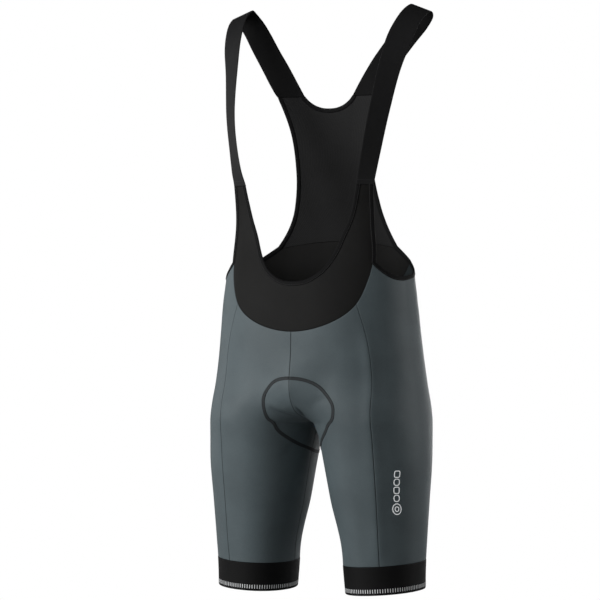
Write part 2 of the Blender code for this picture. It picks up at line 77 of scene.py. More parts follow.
form = {
    "crotch": -0.670,          # lowest point between the legs
    "riseStart": -0.578,       # where the front and back seams start to curve under
    "riseEase": 0.55,          # share of the rise over which that starts
    "evenFrom": -0.560,        # between these the way round grows from half a turn to a whole one
    "evenTo": -0.780,
    "archRadius": 0.0016,      # roundness of the arch between the legs
    "partingEase": 0.20,       # how early the legs' middles settle over the crotch
    "legFrom": -0.678,         # where the side-front seam's rows start to spread down the leg
    "cuffSeam": -0.898,
    "hem": -0.944,
    "hemRise": 0.0035,         # hems rise to the outer side, and again to the back
    "sections": {"columns": "height halfWidth front centre back power", "rows": [
        (-0.944, 0.18, -0.1055, -0.037, 0.031, 2.05), (-0.898, 0.1805, -0.109, -0.038, 0.035, 2.05),
        (-0.862, 0.1823, -0.114, -0.039, 0.04, 2.05), (-0.797, 0.1855, -0.124, -0.041, 0.051, 2.1),
        (-0.732, 0.189, -0.135, -0.042, 0.061, 2.1), (-0.7, 0.1883, -0.1405, -0.041, 0.067, 2.1),
        (-0.67, 0.186, -0.146, -0.04, 0.072, 2.2), (-0.64, 0.1835, -0.15, -0.039, 0.075, 2.25),
        (-0.604, 0.1795, -0.1525, -0.038, 0.075, 2.3), (-0.56, 0.1735, -0.153, -0.037, 0.068, 2.35),
        (-0.522, 0.1693, -0.1525, -0.037, 0.059, 2.4), (-0.476, 0.1655, -0.15, -0.037, 0.051, 2.4),
        (-0.439, 0.161, -0.145, -0.037, 0.046, 2.4), (-0.41, 0.1585, -0.1375, -0.037, 0.0435, 2.4),
        (-0.391, 0.1585, -0.132, -0.038, 0.0425, 2.4), (-0.343, 0.16, -0.125, -0.04, 0.038, 2.4),
        (-0.287, 0.165, -0.129, -0.043, 0.026, 2.4), (-0.231, 0.168, -0.138, -0.043, 0.011, 2.4),
        (-0.136, 0.165, -0.138, -0.043, -0.007, 2.4)]},
    "parting": {"columns": "height spread", "rows": [
        (-0.944, 0.042), (-0.904, 0.0396), (-0.886, 0.0392), (-0.868, 0.0375), (-0.844, 0.0325),
        (-0.804, 0.0223), (-0.765, 0.0156), (-0.726, 0.0096), (-0.67, 0)]},
    "bib": {"columns": "along lowX lowZ neckX neckZ", "odd": "lowX neckX", "even": "lowZ neckZ", "rows": [
        (0, 0, -0.522, 0, -0.446), (0.15, 0.048, -0.5145, 0.027, -0.4415),
        (0.25, 0.076, -0.503, 0.0445, -0.431), (0.4, 0.106, -0.4775, 0.06, -0.414),
        (0.54, 0.1205, -0.439, 0.0715, -0.392), (0.64, 0.1245, -0.411, 0.0795, -0.37),
        (0.82, 0.12, -0.348, 0.0925, -0.336), (1, 0.1205, -0.286, 0.104, -0.286)]},
    "sideFrontAt": 0.40,       # where the side-front seams meet the bib's lower edge
    "armholeAt": 0.64,         # where the armholes leave it
    "sideFront": {"columns": "height x", "rows": [
        (-0.944, 0.134), (-0.83, 0.135), (-0.716, 0.135), (-0.65, 0.133), (-0.584, 0.129),
        (-0.52, 0.119), (-0.4775, 0.106)]},
    "armhole": {"columns": "share height", "rows": [
        (0.268, -0.411), (0.32, -0.426), (0.372, -0.435), (0.43, -0.438), (0.5, -0.435),
        (0.6, -0.4255), (0.682, -0.411)]},
    "yoke": {"columns": "along lowX lowZ highX highZ", "odd": "lowX highX", "even": "lowZ highZ", "rows": [
        (0, 0, -0.458, 0, -0.375), (0.33, 0.048, -0.456, 0.035, -0.3765),
        (0.62, 0.09, -0.4485, 0.066, -0.38), (0.83, 0.119, -0.434, 0.088, -0.3835),
        (1, 0.138, -0.411, 0.106, -0.387)]},
    "netTop": -0.136,
    "netEdge": {"columns": "height halfWidth", "rows": [
        (-0.387, 0.106), (-0.366, 0.0925), (-0.332, 0.0775), (-0.307, 0.0715), (-0.274, 0.0665),
        (-0.25, 0.065), (-0.225, 0.065), (-0.193, 0.0685), (-0.159, 0.078), (-0.136, 0.087)]},
    "scoop": {"columns": "halfWidth height", "even": "height", "rows": [
        (0, -0.1605), (0.017, -0.1585), (0.032, -0.152), (0.0425, -0.1435), (0.0485, -0.136)]},
    "strap": {"columns": "along neckX neckY neckZ armX armY armZ", "rows": [
        (0, 0.099, -0.1173, -0.286, 0.1255, -0.1065, -0.286),
        (1, 0.1105, -0.122, -0.229, 0.135, -0.101, -0.232),
        (2, 0.12, -0.114, -0.165, 0.146, -0.092, -0.17),
        (3, 0.127, -0.088, -0.086, 0.158, -0.071, -0.097),
        (3.6, 0.132, -0.068, -0.044, 0.168, -0.055, -0.057),
        (4.2, 0.1385, -0.038, -0.01, 0.174, -0.035, -0.025),
        (4.7, 0.142, -0.013, 0.006, 0.178, -0.013, -0.008),
        (5, 0.144, 0.002, 0.011, 0.18, 0.002, -0.003),
        (5.3, 0.142, 0.013, 0.005, 0.178, 0.012, -0.01),
        (5.7, 0.131, 0.014, -0.008, 0.167, 0.014, -0.027),
        (6.2, 0.1145, 0.005, -0.027, 0.1495, 0.005, -0.052),
        (7, 0.093, -0.004, -0.057, 0.126, -0.004, -0.086),
        (7.8, 0.07, -0.008, -0.091, 0.105, -0.009, -0.119),
        (8.5, 0.0435, -0.0076, -0.136, 0.092, -0.011, -0.136)]},
}


def section(height):
    # the measures of the cross-section at a height, in their columns' order
    return [column(form["sections"], name, height) for name in form["sections"]["columns"].split()[1:]]


def eased(t):
    # 0 to 1: a cubic up to the rise's ease, then its tangent
    t, ease = np.clip(t, 0, 1), form["riseEase"]
    return np.where(t < ease, t ** 3 / (3 * ease ** 2), t - ease * 2 / 3) / (1 - ease * 2 / 3)


def bodyPoints(share, height):
    # left half of the garment: share runs round from the front seam or inseam (0) by the outer
    # side (0.5) to the back one (1) of a superellipse, |x/a|^p + |y/b|^p = 1, whose middle moves
    # out of the centre as the legs part
    share, height = np.broadcast_arrays(np.asarray(share, float), np.asarray(height, float))
    wide, front, centre, back, power = section(height)
    closed = eased((form["riseStart"] - height) / (form["riseStart"] - form["crotch"]))
    drop = np.clip(form["crotch"] - height, 0, None)
    spread = np.where(drop > 0, column(form["parting"], "spread", height), 0)
    gap = np.sqrt(spread ** 2 + 2 * form["archRadius"] * drop)
    reach = closed ** (2 / power)
    left, ease = 1 - reach, form["partingEase"]
    settled = 1 - left ** 2 * (1 + ease) / (left + ease)
    middle = np.where(drop > 0, (wide + spread) / 2, wide * settled / (1 + settled))
    radius = wide - middle
    inner = np.where(drop > 0, middle - gap, np.where(reach > 1e-6, middle / np.maximum(reach, 1e-6), radius))
    start = np.pi / 2 + np.arcsin(closed)
    even = np.pi / 2 * (1 + ramp(height, form["evenFrom"], form["evenTo"]))
    turn = 2 * share - 1
    angle = even * turn + (start - even) * turn * np.abs(turn) ** 3
    c, s = np.cos(angle), np.sin(angle)
    x = middle + np.where(c < 0, -inner, radius) * np.abs(c) ** (2 / power)
    y = centre + np.where(s < 0, centre - front, back - centre) * np.sign(s) * np.abs(s) ** (2 / power)
    x = np.where((closed < 1) & ((share == 0) | (share == 1)), 0.0, x)
    return np.stack([x, y, height], -1)


def sheetPoints(x, height, behind=False):
    # the same form by x and height: y = centre -/+ depth * (1 - |x/a|^p)^(1/p)
    wide, front, centre, back, power = section(height)
    depth = np.clip(1 - np.abs(x / wide) ** power, 0, 1) ** (1 / power)
    y = centre + (back - centre) * depth if behind else centre - (centre - front) * depth
    return np.stack(np.broadcast_arrays(x, y, height), -1)


def shareOf(x, height, behind=False):
    # the share at which the form's front, or its back, passes x, by halving
    x, height = np.broadcast_arrays(np.asarray(x, float), np.asarray(height, float))
    inner, outer = np.full(x.shape, 1.0 if behind else 0.0), np.full(x.shape, 0.5)
    for step in range(34):
        half = (inner + outer) / 2
        short = bodyPoints(half, height)[..., 0] < x
        inner, outer = np.where(short, half, inner), np.where(short, outer, half)
    return (inner + outer) / 2


def tilted(share, height):
    # height + rise * (cos a + sin a), a hem that is lowest at the inner front
    angle = np.pi * (2 * share - 1)
    return height + form["hemRise"] * (np.cos(angle) + np.sin(angle))


def coons(top, bottom, left, right, u=None, v=None):
    # ruled surface between top and bottom + ruled between left and right - the corners' bilinear
    u = (np.linspace(0, 1, len(top)) if u is None else u)[None, :, None]
    v = (np.linspace(0, 1, len(left)) if v is None else v)[:, None, None]
    ruled = (1 - v) * top[None] + v * bottom[None] + (1 - u) * left[:, None] + u * right[:, None]
    corners = ((1 - v) * ((1 - u) * top[0] + u * top[-1])
               + v * ((1 - u) * bottom[0] + u * bottom[-1]))
    return ruled - corners


def pair(a, b):
    return np.stack(np.broadcast_arrays(a, b), -1).astype(float)


def spaced(spans, each, near):
    # positions 0..spans, each to a span, and a few close to both ends for the rolled edges
    near = np.array(near)
    even = np.linspace(0, spans, spans * each + 1)
    even = even[(even > 1.4 * near[-1]) & (even < spans - 1.4 * near[-1])]
    return np.concatenate([[0], near, even, spans - near[::-1], [spans]])


def normalsOf(grid):
    # unit normals at a grid's points: sums of the cross products of the diagonals of the cells
    cell = np.cross(grid[1:, :-1] - grid[:-1, 1:], grid[1:, 1:] - grid[:-1, :-1])
    total = np.zeros_like(grid)
    for rows in (slice(None, -1), slice(1, None)):
        for cols in (slice(None, -1), slice(1, None)):
            total[rows, cols] += cell
    if np.allclose(grid[:, 0], grid[:, -1]):
        total[:, 0] = total[:, -1] = total[:, 0] + total[:, -1]
    return total / np.linalg.norm(total, axis=-1, keepdims=True)


def unit(v):
    return v / np.maximum(np.linalg.norm(v, axis=-1, keepdims=True), 1e-12)


def lengthsOf(grid, axis):
    # distance along the grid's lines from their first point
    step = np.linalg.norm(np.diff(grid, axis=axis), axis=-1)
    start = np.zeros_like(np.take(step, [0], axis=axis))
    return np.concatenate([start, np.cumsum(step, axis=axis)], axis=axis)


def gridFaces(rows, cols, wrapCols=False, wrapRows=False):
    # quads of a grid of points, counter-clockwise from the side where columns run to the right
    r = np.arange(rows if wrapRows else rows - 1)[:, None]
    c = np.arange(cols if wrapCols else cols - 1)[None, :]
    r2, c2 = (r + 1) % rows, (c + 1) % cols
    quads = np.stack([r * cols + c, r2 * cols + c, r2 * cols + c2, r * cols + c2], -1)
    return quads.reshape(-1, 4)


def newMesh(name, points, faces, look, values=None, uv=None, smooth=True):
    # values are read by the looks, one number a point; uv is metres across and down the cloth
    mesh = bpy.data.meshes.new(name)
    mesh.from_pydata(np.asarray(points).reshape(-1, 3).tolist(), [], [list(f) for f in faces])
    corner = np.empty(len(mesh.loops), int)
    mesh.loops.foreach_get("vertex_index", corner)
    if uv is not None:
        layer = mesh.uv_layers.new(name="cloth")
        layer.data.foreach_set("uv", np.asarray(uv).reshape(-1, 2)[corner].ravel())
    for key, data in (values or {}).items():
        mesh.attributes.new(key, "FLOAT", "POINT").data.foreach_set("value", np.asarray(data).ravel())
    mesh.shade_smooth() if smooth else mesh.shade_flat()
    mesh.materials.append(look)
    piece = bpy.data.objects.new(name, mesh)
    bpy.context.collection.objects.link(piece)
    return piece


def finishPiece(piece, node=None):
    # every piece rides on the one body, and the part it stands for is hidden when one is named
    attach(piece, "root")
    if node:
        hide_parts(node)


def wallFaces(rows, cols, ring):
    # two layers of a grid, the second turned round, and the quads that join their edges
    count, layer = rows * cols, gridFaces(rows, cols, ring)
    top, bottom = np.arange(cols), (rows - 1) * cols + np.arange(cols)[::-1]
    right, left = np.arange(1, rows) * cols + cols - 1, np.arange(rows - 2, 0, -1) * cols
    borders = [top, bottom] if ring else [np.concatenate([top, right, bottom[1:], left])]
    rims = [np.stack([a, np.roll(a, -1), np.roll(a, -1) + count, a + count], -1) for a in borders]
    return np.concatenate([layer, layer[:, ::-1] + count] + rims)


cloths = {    # thickness, and the width, length and area of the cut, of each panel
    "front": (0.0012, (0.165, 0.430, 0.0490)),
    "side": (0.0012, (0.330, 0.505, 0.1300)),
    "bib": (0.0012, (0.310, 0.245, 0.0300)),
    "yoke": (0.0012, (0.300, 0.085, 0.0210)),
    "net": (0.0010, (0.215, 0.260, 0.0370)),
    "strap": (0.0015, (0.034, 0.480, 0.0160)),
    "cuff": (0.0016, (0.480, 0.046, 0.0220)),
}
edges = {"rollWidth": 0.0013, "rollDepth": 0.00045, "lap": 0.2}    # lap: past the seam, in cells


def shell(name, grid, kind, look, node, lining=None, rolled="tblr", out=0.0):
    # a closed wall: outer = points + normal * out, inner = outer - normal * thick, and near a
    # rolled edge both turn towards each other by depth * (1 - distance / width)^2
    thick, cut = cloths[kind]
    ring = bool(np.allclose(grid[:, 0], grid[:, -1]))
    normal = normalsOf(grid)
    across, down = lengthsOf(grid, 1), lengthsOf(grid, 0)
    distance = {"t": down, "b": down[-1:] - down, "l": across, "r": across[:, -1:] - across}
    far = np.minimum(np.min([distance[side] for side in rolled], axis=0), 1.0)
    turned = edges["rollDepth"] * np.clip(1 - far / edges["rollWidth"], 0, 1) ** 2
    base = grid.copy()
    if not ring:
        base[:, 0] -= (grid[:, 1] - grid[:, 0]) * edges["lap"]
        base[:, -1] -= (grid[:, -2] - grid[:, -1]) * edges["lap"]
    base[0] -= (grid[1] - grid[0]) * edges["lap"]
    base[-1] -= (grid[-2] - grid[-1]) * edges["lap"]
    outer = base + normal * (out - turned)[..., None]
    inner = base + normal * (out - thick + turned)[..., None]
    if ring:
        outer, inner, far, across, down = (a[:, :-1] for a in (outer, inner, far, across, down))
    rows, cols = far.shape
    points = np.concatenate([outer.reshape(-1, 3), inner.reshape(-1, 3)])
    uv = np.tile(pair(across, down).reshape(-1, 2), (2, 1))
    piece = newMesh(name, points, wallFaces(rows, cols, ring), look, {"edge": np.tile(far.ravel(), 2)}, uv)
    if lining:
        piece.data.materials.append(lining)
        layer = (rows - 1) * (cols if ring else cols - 1)
        within = np.zeros(len(piece.data.polygons), int)
        within[layer:2 * layer] = 1
        piece.data.polygons.foreach_set("material_index", within)
    finishPiece(piece, node)


def mirrored(grid):
    # x to -x, with the columns turned round so that the faces still point outwards
    return (grid * (-1, 1, 1))[:, ::-1]


def sweep(name, path, across, normal, profile, look, closed=False):
    # points = path + a * across + n * normal for each (a, n) of a closed profile
    profile = np.asarray(profile, float)
    points = path[:, None] + profile[None, :, :1] * across[:, None] + profile[None, :, 1:] * normal[:, None]
    rows, cols = points.shape[:2]
    faces = gridFaces(rows, cols, True, closed)
    corner = points.reshape(-1, 3)[faces]
    facing = np.cross(corner[:, 2] - corner[:, 0], corner[:, 3] - corner[:, 1])
    inward = np.sum(facing * (corner[:, 0] - points.mean(1)[faces[:, 0] // cols])) < 0
    faces = (faces[:, ::-1] if inward else faces).tolist()
    if not closed:
        ends = [list(range(cols)), list(range(rows * cols - 1, (rows - 1) * cols - 1, -1))]
        faces += [end[::-1] for end in ends] if inward else ends
    uv = pair(lengthsOf(profile, 0)[None], lengthsOf(path, 0)[:, None])
    return newMesh(name, points, faces, look, {"edge": np.ones(rows * cols)}, uv)


def even(path, pitch, *others):
    # the path and the directions that go with it, read again at even distances
    gone = lengthsOf(path, 0)
    at = np.linspace(0, gone[-1], max(2, int(round(gone[-1] / pitch)) + 1))
    read = lambda v: np.stack([np.interp(at, gone, v[:, k]) for k in range(3)], -1)
    return [read(path)] + [unit(read(v)) for v in others]


def stitches(name, lines, slot, length, width, height, pitch):
    # each stitch is a low bar, (width cos a, height sin a) round its upper half, tapered at its ends
    bar = np.array([(t * length, k * width * np.cos(a), k * height * np.sin(a))
                    for t, k in ((-0.5, 0.25), (-0.36, 1), (0.36, 1), (0.5, 0.25))
                    for a in np.linspace(0, np.pi, 5)])
    faces = gridFaces(4, 5)[:, ::-1].tolist()
    faces += [[0, 5, 10, 15, 19, 14, 9, 4], [4, 3, 2, 1, 0], [15, 16, 17, 18, 19]]
    cells = []
    for path, normal in lines:
        path, normal = even(path, pitch, normal)
        along = unit(np.gradient(path, axis=0))
        turned = np.stack([along, unit(np.cross(along, normal)), normal], 1)
        cells.append((path[:, None] + bar @ turned).reshape(-1, 3))
    points, joined = np.concatenate(cells), []
    starts = np.arange(0, len(points), len(bar))[:, None]
    for face in faces:
        joined += (starts + np.array(face)).tolist()
    finishPiece(newMesh(name, points, joined, blackThread, {"edge": np.ones(len(points))}))


def edgeOf(panel, edge, at):
    # an edge of the bib or the yoke, as x and height
    return pair(column(form[panel], edge + "X", at), column(form[panel], edge + "Z", at))


def lowEdge(panel, at, behind=False):
    # its lower edge, as share and height
    flat = edgeOf(panel, "low", at)
    return pair(shareOf(flat[..., 0], flat[..., 1], behind), flat[..., 1])


def sideFront(height):
    # the side-front seam's share at a height
    return shareOf(column(form["sideFront"], "x", height), height)


spans = {    # large cells of the grey panels: across them, and down the stretches of their seams
    "front": 8, "armhole": 8, "yoke": 6,
    "frontSeam": 6, "backSeam": 10, "under": 6, "leg": 10,
    "bib": 4, "sideFront": 12,
    "frontEach": 9, "sideEach": 8,    # rows and columns of each
}


def inseamHeights(v, seam, top):
    # straight down to the rise, a quarter sine on to the crotch, then t^1.6 down the leg
    rise, crotch, foot = form["riseStart"], form["crotch"], tilted(0.0, form["cuffSeam"])
    turn = seam + spans["under"]
    under = rise + (crotch - rise) * np.sin(np.pi / 2 * np.clip((v - seam) / spans["under"], 0, 1))
    leg = crotch + (foot - crotch) * np.clip((v - turn) / spans["leg"], 0, 1) ** 1.6
    return np.where(v <= seam, top + (rise - top) * v / seam, np.where(v <= turn, under, leg))


def sideFrontHeights(v):
    # straight down to just under the crotch, then t^1.15 down the leg
    top, under = column(form["bib"], "lowZ", form["sideFrontAt"]), form["legFrom"]
    straight, foot = spans["sideFront"], tilted(sideFront(form["cuffSeam"]), form["cuffSeam"])
    return np.where(v <= straight, top + (under - top) * v / straight,
                    under + (foot - under) * np.clip((v - straight) / spans["leg"], 0, 1) ** 1.15)


def frontFlat():
    # share and height over the left front: bib edge, centre seam, side-front seam, cuff seam
    wide, tall = spans["front"], spans["frontSeam"] + spans["under"] + spans["leg"]
    u = spaced(wide, spans["frontEach"], (0.03, 0.07, 0.13))
    v = spaced(tall, spans["frontEach"], (0.04, 0.09, 0.16))
    top = lowEdge("bib", form["sideFrontAt"] * u / wide)
    seam = sideFrontHeights(v)
    right = pair(sideFront(seam), seam)
    right[0] = top[-1]
    share = right[-1, 0] * u / wide
    left = pair(0.0, inseamHeights(v, spans["frontSeam"], top[0, 1]))
    return coons(top, pair(share, tilted(share, form["cuffSeam"])), left, right, u / wide, v / tall)


def sideFlat():
    # the left side, from the side-front seam round to the back seam, up to armhole and yoke
    arm, bib = spans["armhole"], spans["bib"]
    wide, tall = arm + spans["yoke"], bib + spans["sideFront"] + spans["leg"]
    u = spaced(wide, spans["sideEach"], (0.02, 0.045, 0.08))
    v = spaced(tall, spans["sideEach"], (0.04, 0.09, 0.16))
    at = form["armholeAt"] + (form["sideFrontAt"] - form["armholeAt"]) * np.clip(v / bib, 0, 1)
    seam = sideFrontHeights(np.clip(v - bib, 0, tall - bib))
    left = np.where((v < bib)[:, None], lowEdge("bib", at), pair(sideFront(seam), seam))
    yoke = lowEdge("yoke", np.clip((wide - u) / spans["yoke"], 0, 1), True)
    share = left[0, 0] + (yoke[0, 0] - left[0, 0]) * np.clip(u / arm, 0, 1)
    top = np.where((u < arm)[:, None], pair(share, column(form["armhole"], "height", share)), yoke)
    top[0] = left[0]
    right = pair(1.0, inseamHeights(v, spans["backSeam"], top[-1, 1]))
    foot = left[-1, 0] + (1 - left[-1, 0]) * u / wide
    return coons(top, pair(foot, tilted(foot, form["cuffSeam"])), left, right, u / wide, v / tall)


def fromMiddle(each, near):
    # positions from the middle line out, a few of them close to the end
    at = spaced(1, each, near)[len(near):]
    at[0] = 0
    return at


def bothHalves(half, behind):
    # the left half and its mirror image, laid on the front or the back of the form
    sides = [half[:, :0:-1], half * (-1, 1)] if behind else [half[:, :0:-1] * (-1, 1), half]
    flat = np.concatenate(sides, axis=1)
    return sheetPoints(flat[..., 0], flat[..., 1], behind)


def ruledGrid(panel, upper, each, near, rows, behind=False):
    # a panel that is straight between its edges: (1 - t) * upper + t * lower
    at, t = fromMiddle(each, near), spaced(1, rows, (0.006, 0.014, 0.026))[:, None, None]
    return bothHalves((1 - t) * edgeOf(panel, upper, at) + t * edgeOf(panel, "low", at), behind)


def netGrid():
    # half of it is filled from its yoke seam, scoop and strap seam, middle and armhole edge
    at, down = fromMiddle(52, (0.005, 0.011, 0.02)), spaced(1, 120, (0.002, 0.0045, 0.008))
    low = edgeOf("yoke", "high", at)
    wide, rim = form["netEdge"]["rows"][-1][1], form["scoop"]["rows"][-1][0]
    x = wide * at
    high = pair(x, np.where(x < rim, column(form["scoop"], "height", np.clip(x, 0, rim)), form["netTop"]))
    heights = form["netTop"] + (low[-1, 1] - form["netTop"]) * down
    edge = pair(column(form["netEdge"], "halfWidth", heights), heights)
    middle = pair(0.0, high[0, 1] + (low[0, 1] - high[0, 1]) * down)
    return bothHalves(coons(high, low, middle, edge, at, down), True)


def strapGrid():
    # two edge curves joined straight across, with rows at even distances
    def read(edge):
        return np.stack([column(form["strap"], edge + axis, at) for axis in "XYZ"], -1)

    at = np.linspace(0, form["strap"]["rows"][-1][0], 600)
    gone = lengthsOf((read("neck") + read("arm")) / 2, 0)
    at = np.interp(gone[-1] * spaced(1, 190, (0.001, 0.0025, 0.004)), gone, at)
    across = spaced(1, 18, (0.015, 0.04, 0.075))[None, :, None]
    return (1 - across) * read("arm")[:, None] + across * read("neck")[:, None]


def cuffGrid():
    # a tube between the tilted cuff seam and the tilted hem
    share, down = np.linspace(0, 1, 241), spaced(1, 22, (0.012, 0.028, 0.05))
    seam, hem = form["cuffSeam"], form["hem"]
    return np.stack([bodyPoints(share, tilted(share, seam + (hem - seam) * t)) for t in down])


def addNode(look, kind, settings=None, **inputs):
    # a new node; an input is a value or another node's output, and inN is its input number N
    one = look.node_tree.nodes.new("ShaderNode" + kind)
    for key, value in (settings or {}).items():
        setattr(one, key, value)
    for key, value in inputs.items():
        socket = one.inputs[int(key[2:])] if key[:2] == "in" and key[2:].isdigit() else one.inputs[key]
        if isinstance(value, bpy.types.NodeSocket):
            look.node_tree.links.new(value, socket)
        else:
            socket.default_value = value
    return one


def newLook(name, roughness, specular=0.5, sheen=0.0, sheenRoughness=0.5):
    # a material with these set on its shader's own sockets
    look = bpy.data.materials.new(name)
    look.use_nodes = True
    shader = look.node_tree.nodes["Principled BSDF"]
    for key, value in (("Roughness", roughness), ("Specular IOR Level", specular),
                       ("Sheen Weight", sheen), ("Sheen Roughness", sheenRoughness)):
        shader.inputs[key].default_value = value
    return look, shader


def math(look, operation, a, b=0.0):
    return addNode(look, "Math", {"operation": operation}, in0=a, in1=b).outputs[0]


def times(look, a, b):
    return math(look, "MULTIPLY", a, b)


def vector(look, operation, output="Vector", **inputs):
    return addNode(look, "VectorMath", {"operation": operation}, **inputs).outputs[output]


def mapped(look, value, low, high, toLow, toHigh):
    # toLow below low, toHigh above high, 3t^2 - 2t^3 between
    one = addNode(look, "MapRange", {"clamp": True, "interpolation_type": "SMOOTHSTEP"}, in0=value)
    for index, number in enumerate((low, high, toLow, toHigh)):
        one.inputs[index + 1].default_value = number
    return one.outputs[0]


def stored(look, name):
    return addNode(look, "Attribute", {"attribute_name": name}).outputs["Fac"]


def noiseOf(look, scale, detail):
    spot = addNode(look, "TexCoord").outputs["Object"]
    return addNode(look, "TexNoise", Vector=spot, Scale=scale, Detail=detail).outputs[0]


def clothPlace(look):
    return addNode(look, "UVMap", {"uv_map": "cloth"}).outputs[0]


def ripples(look, *pitches):
    # |sin(pi * u / pitch)| across the cloth and |sin(pi * v / pitch)| down it
    place = addNode(look, "SeparateXYZ", in0=clothPlace(look)).outputs
    return [math(look, "ABSOLUTE", math(look, "SINE", times(look, place[k], np.pi / pitch)))
            for k, pitch in enumerate(pitches)]


def dressed(look, shader, colour, tone, height=None, depth=0.0, strength=0.5):
    # base colour = colour * tone, and a bump of the height given
    if isinstance(colour, tuple):
        colour = addNode(look, "CombineColor", in0=colour[0], in1=colour[1], in2=colour[2]).outputs[0]
    look.node_tree.links.new(vector(look, "SCALE", in0=colour, Scale=tone), shader.inputs["Base Color"])
    if height is not None:
        bump = addNode(look, "Bump", Strength=strength, Distance=depth, Height=height)
        look.node_tree.links.new(bump.outputs[0], shader.inputs["Normal"])
    return look


def clothLook(name, colour, roughness, specular, wale, course, depth, seam, gapShade, mottle=0.10, grainAndGapShade=0.10):
    # a knit: columns of loops a wale apart and rows a course apart, raised as |sin| * (1 + |sin|) / 2;
    # its colour drifts softly, and painted shade darkens it in the loops' gaps and along the panel's edges
    look, shader = newLook(name, roughness, specular)
    ribs, rows = ripples(look, wale, course)
    loops = times(look, ribs, math(look, "ADD", times(look, rows, 0.5), 0.5))
    tone = math(look, "ADD", mapped(look, noiseOf(look, 14.0, 3.0), 0.3, 0.7, 1 - mottle, 1 + mottle / 2),
                mapped(look, noiseOf(look, 900.0, 1.0), 0.3, 0.7, -grainAndGapShade / 2, grainAndGapShade / 2))
    # painted shade: darker where the loops sink, in the gaps between them and in the net's holes
    tone = times(look, tone, mapped(look, loops, 0.0, 0.6, 1 - grainAndGapShade - gapShade, 1.0))
    # painted shade: darker within a millimetre of the panel's edges, for the shadow in the seams' grooves
    tone = times(look, tone, mapped(look, stored(look, "edge"), 0.0002, 0.0010, seam, 1.0))
    return dressed(look, shader, colour, tone, loops, depth)


def ribbedLook(name, colour, roughness, specular, rib, depth, pick=0.0007):
    # an elastic: cords along it a rib apart, crossed by fine picks, raised as |sin| + |sin| / 4
    look, shader = newLook(name, roughness, specular)
    cords, picks = ripples(look, rib, pick)
    raised = math(look, "ADD", cords, times(look, picks, 0.25))
    # painted shade between the cords, a little painted highlight on their tops, and painted shade along the
    # tape's edges
    tone = times(look, mapped(look, raised, 0.0, 0.9, 0.62, 1.08),
                 mapped(look, stored(look, "edge"), 0.0002, 0.0010, 0.55, 1.0))
    return dressed(look, shader, colour, tone, raised, depth)


def threadLook(name, colour, roughness=0.6, drift=0.15):
    # thread, tape or print: its tone drifts by that share either way
    look, shader = newLook(name, roughness, 0.4)
    tone = mapped(look, noiseOf(look, 700.0, 2.0), 0.3, 0.7, 1 - drift, 1 + drift)
    return dressed(look, shader, colour, tone)


knits = {    # colour, roughness, specular level, wale, course, depth, tone of the painted shade at the edges, loss to painted shade in the gaps
    "greyKnit": ((0.107, 0.136, 0.147), 0.48, 0.24, 0.0009, 0.0012, 0.00012, 0.18, 0.0),
    # the grey cloth's inner face: the same grey darkened, painted shade for the garment's inside
    "greyLiningPaintedShade": ((0.030, 0.037, 0.040), 0.75, 0.08, 0.0009, 0.0012, 0.00012, 0.30, 0.0),
    "blackKnit": ((0.0125, 0.0123, 0.0120), 0.60, 0.12, 0.0009, 0.0012, 0.00012, 0.30, 0.0),
    "blackLining": ((0.0125, 0.0125, 0.0128), 0.80, 0.05, 0.0009, 0.0012, 0.00012, 0.30, 0.0),
    "blackNet": ((0.0125, 0.0125, 0.0130), 0.70, 0.25, 0.0030, 0.0034, 0.0004, 0.30, 0.5),
    "blackBand": ((0.0070, 0.0070, 0.0073), 0.60, 0.14, 0.0014, 0.0016, 0.0002, 0.30, 0.0),
}
greyCloth, greyLiningPaintedShade, blackCloth, blackLining, netCloth, cuffCloth = (
    clothLook(name, *values) for name, values in knits.items())
strapTape = ribbedLook("blackElastic", (0.0190, 0.0190, 0.0196), 0.60, 0.12, 0.0018, 0.00025)
bindingTape = ribbedLook("blackBinding", (0.0090, 0.0090, 0.0094), 0.65, 0.08, 0.0009, 0.00012)
blackThread = threadLook("blackThread", (0.020, 0.020, 0.021))
loopTape = threadLook("loopTape", (0.028, 0.034, 0.037), 0.7)
seamTape = threadLook("seamTape", (0.035, 0.041, 0.044))
printColour = (0.86, 0.88, 0.89)
palePrint = threadLook("palePrint", printColour, 0.5, 0.04)
printWithPaintedGlow, shader = newLook("printWithPaintedGlow", 0.35)    # the reflective print with a painted glow: it emits a little light of its own colour in place of the light it throws back
for key, value in (("Base Color", (*printColour, 1)), ("Emission Color", (*printColour, 1)),
                   ("Emission Strength", 0.30)):
    shader.inputs[key].default_value = value
print("looks made")


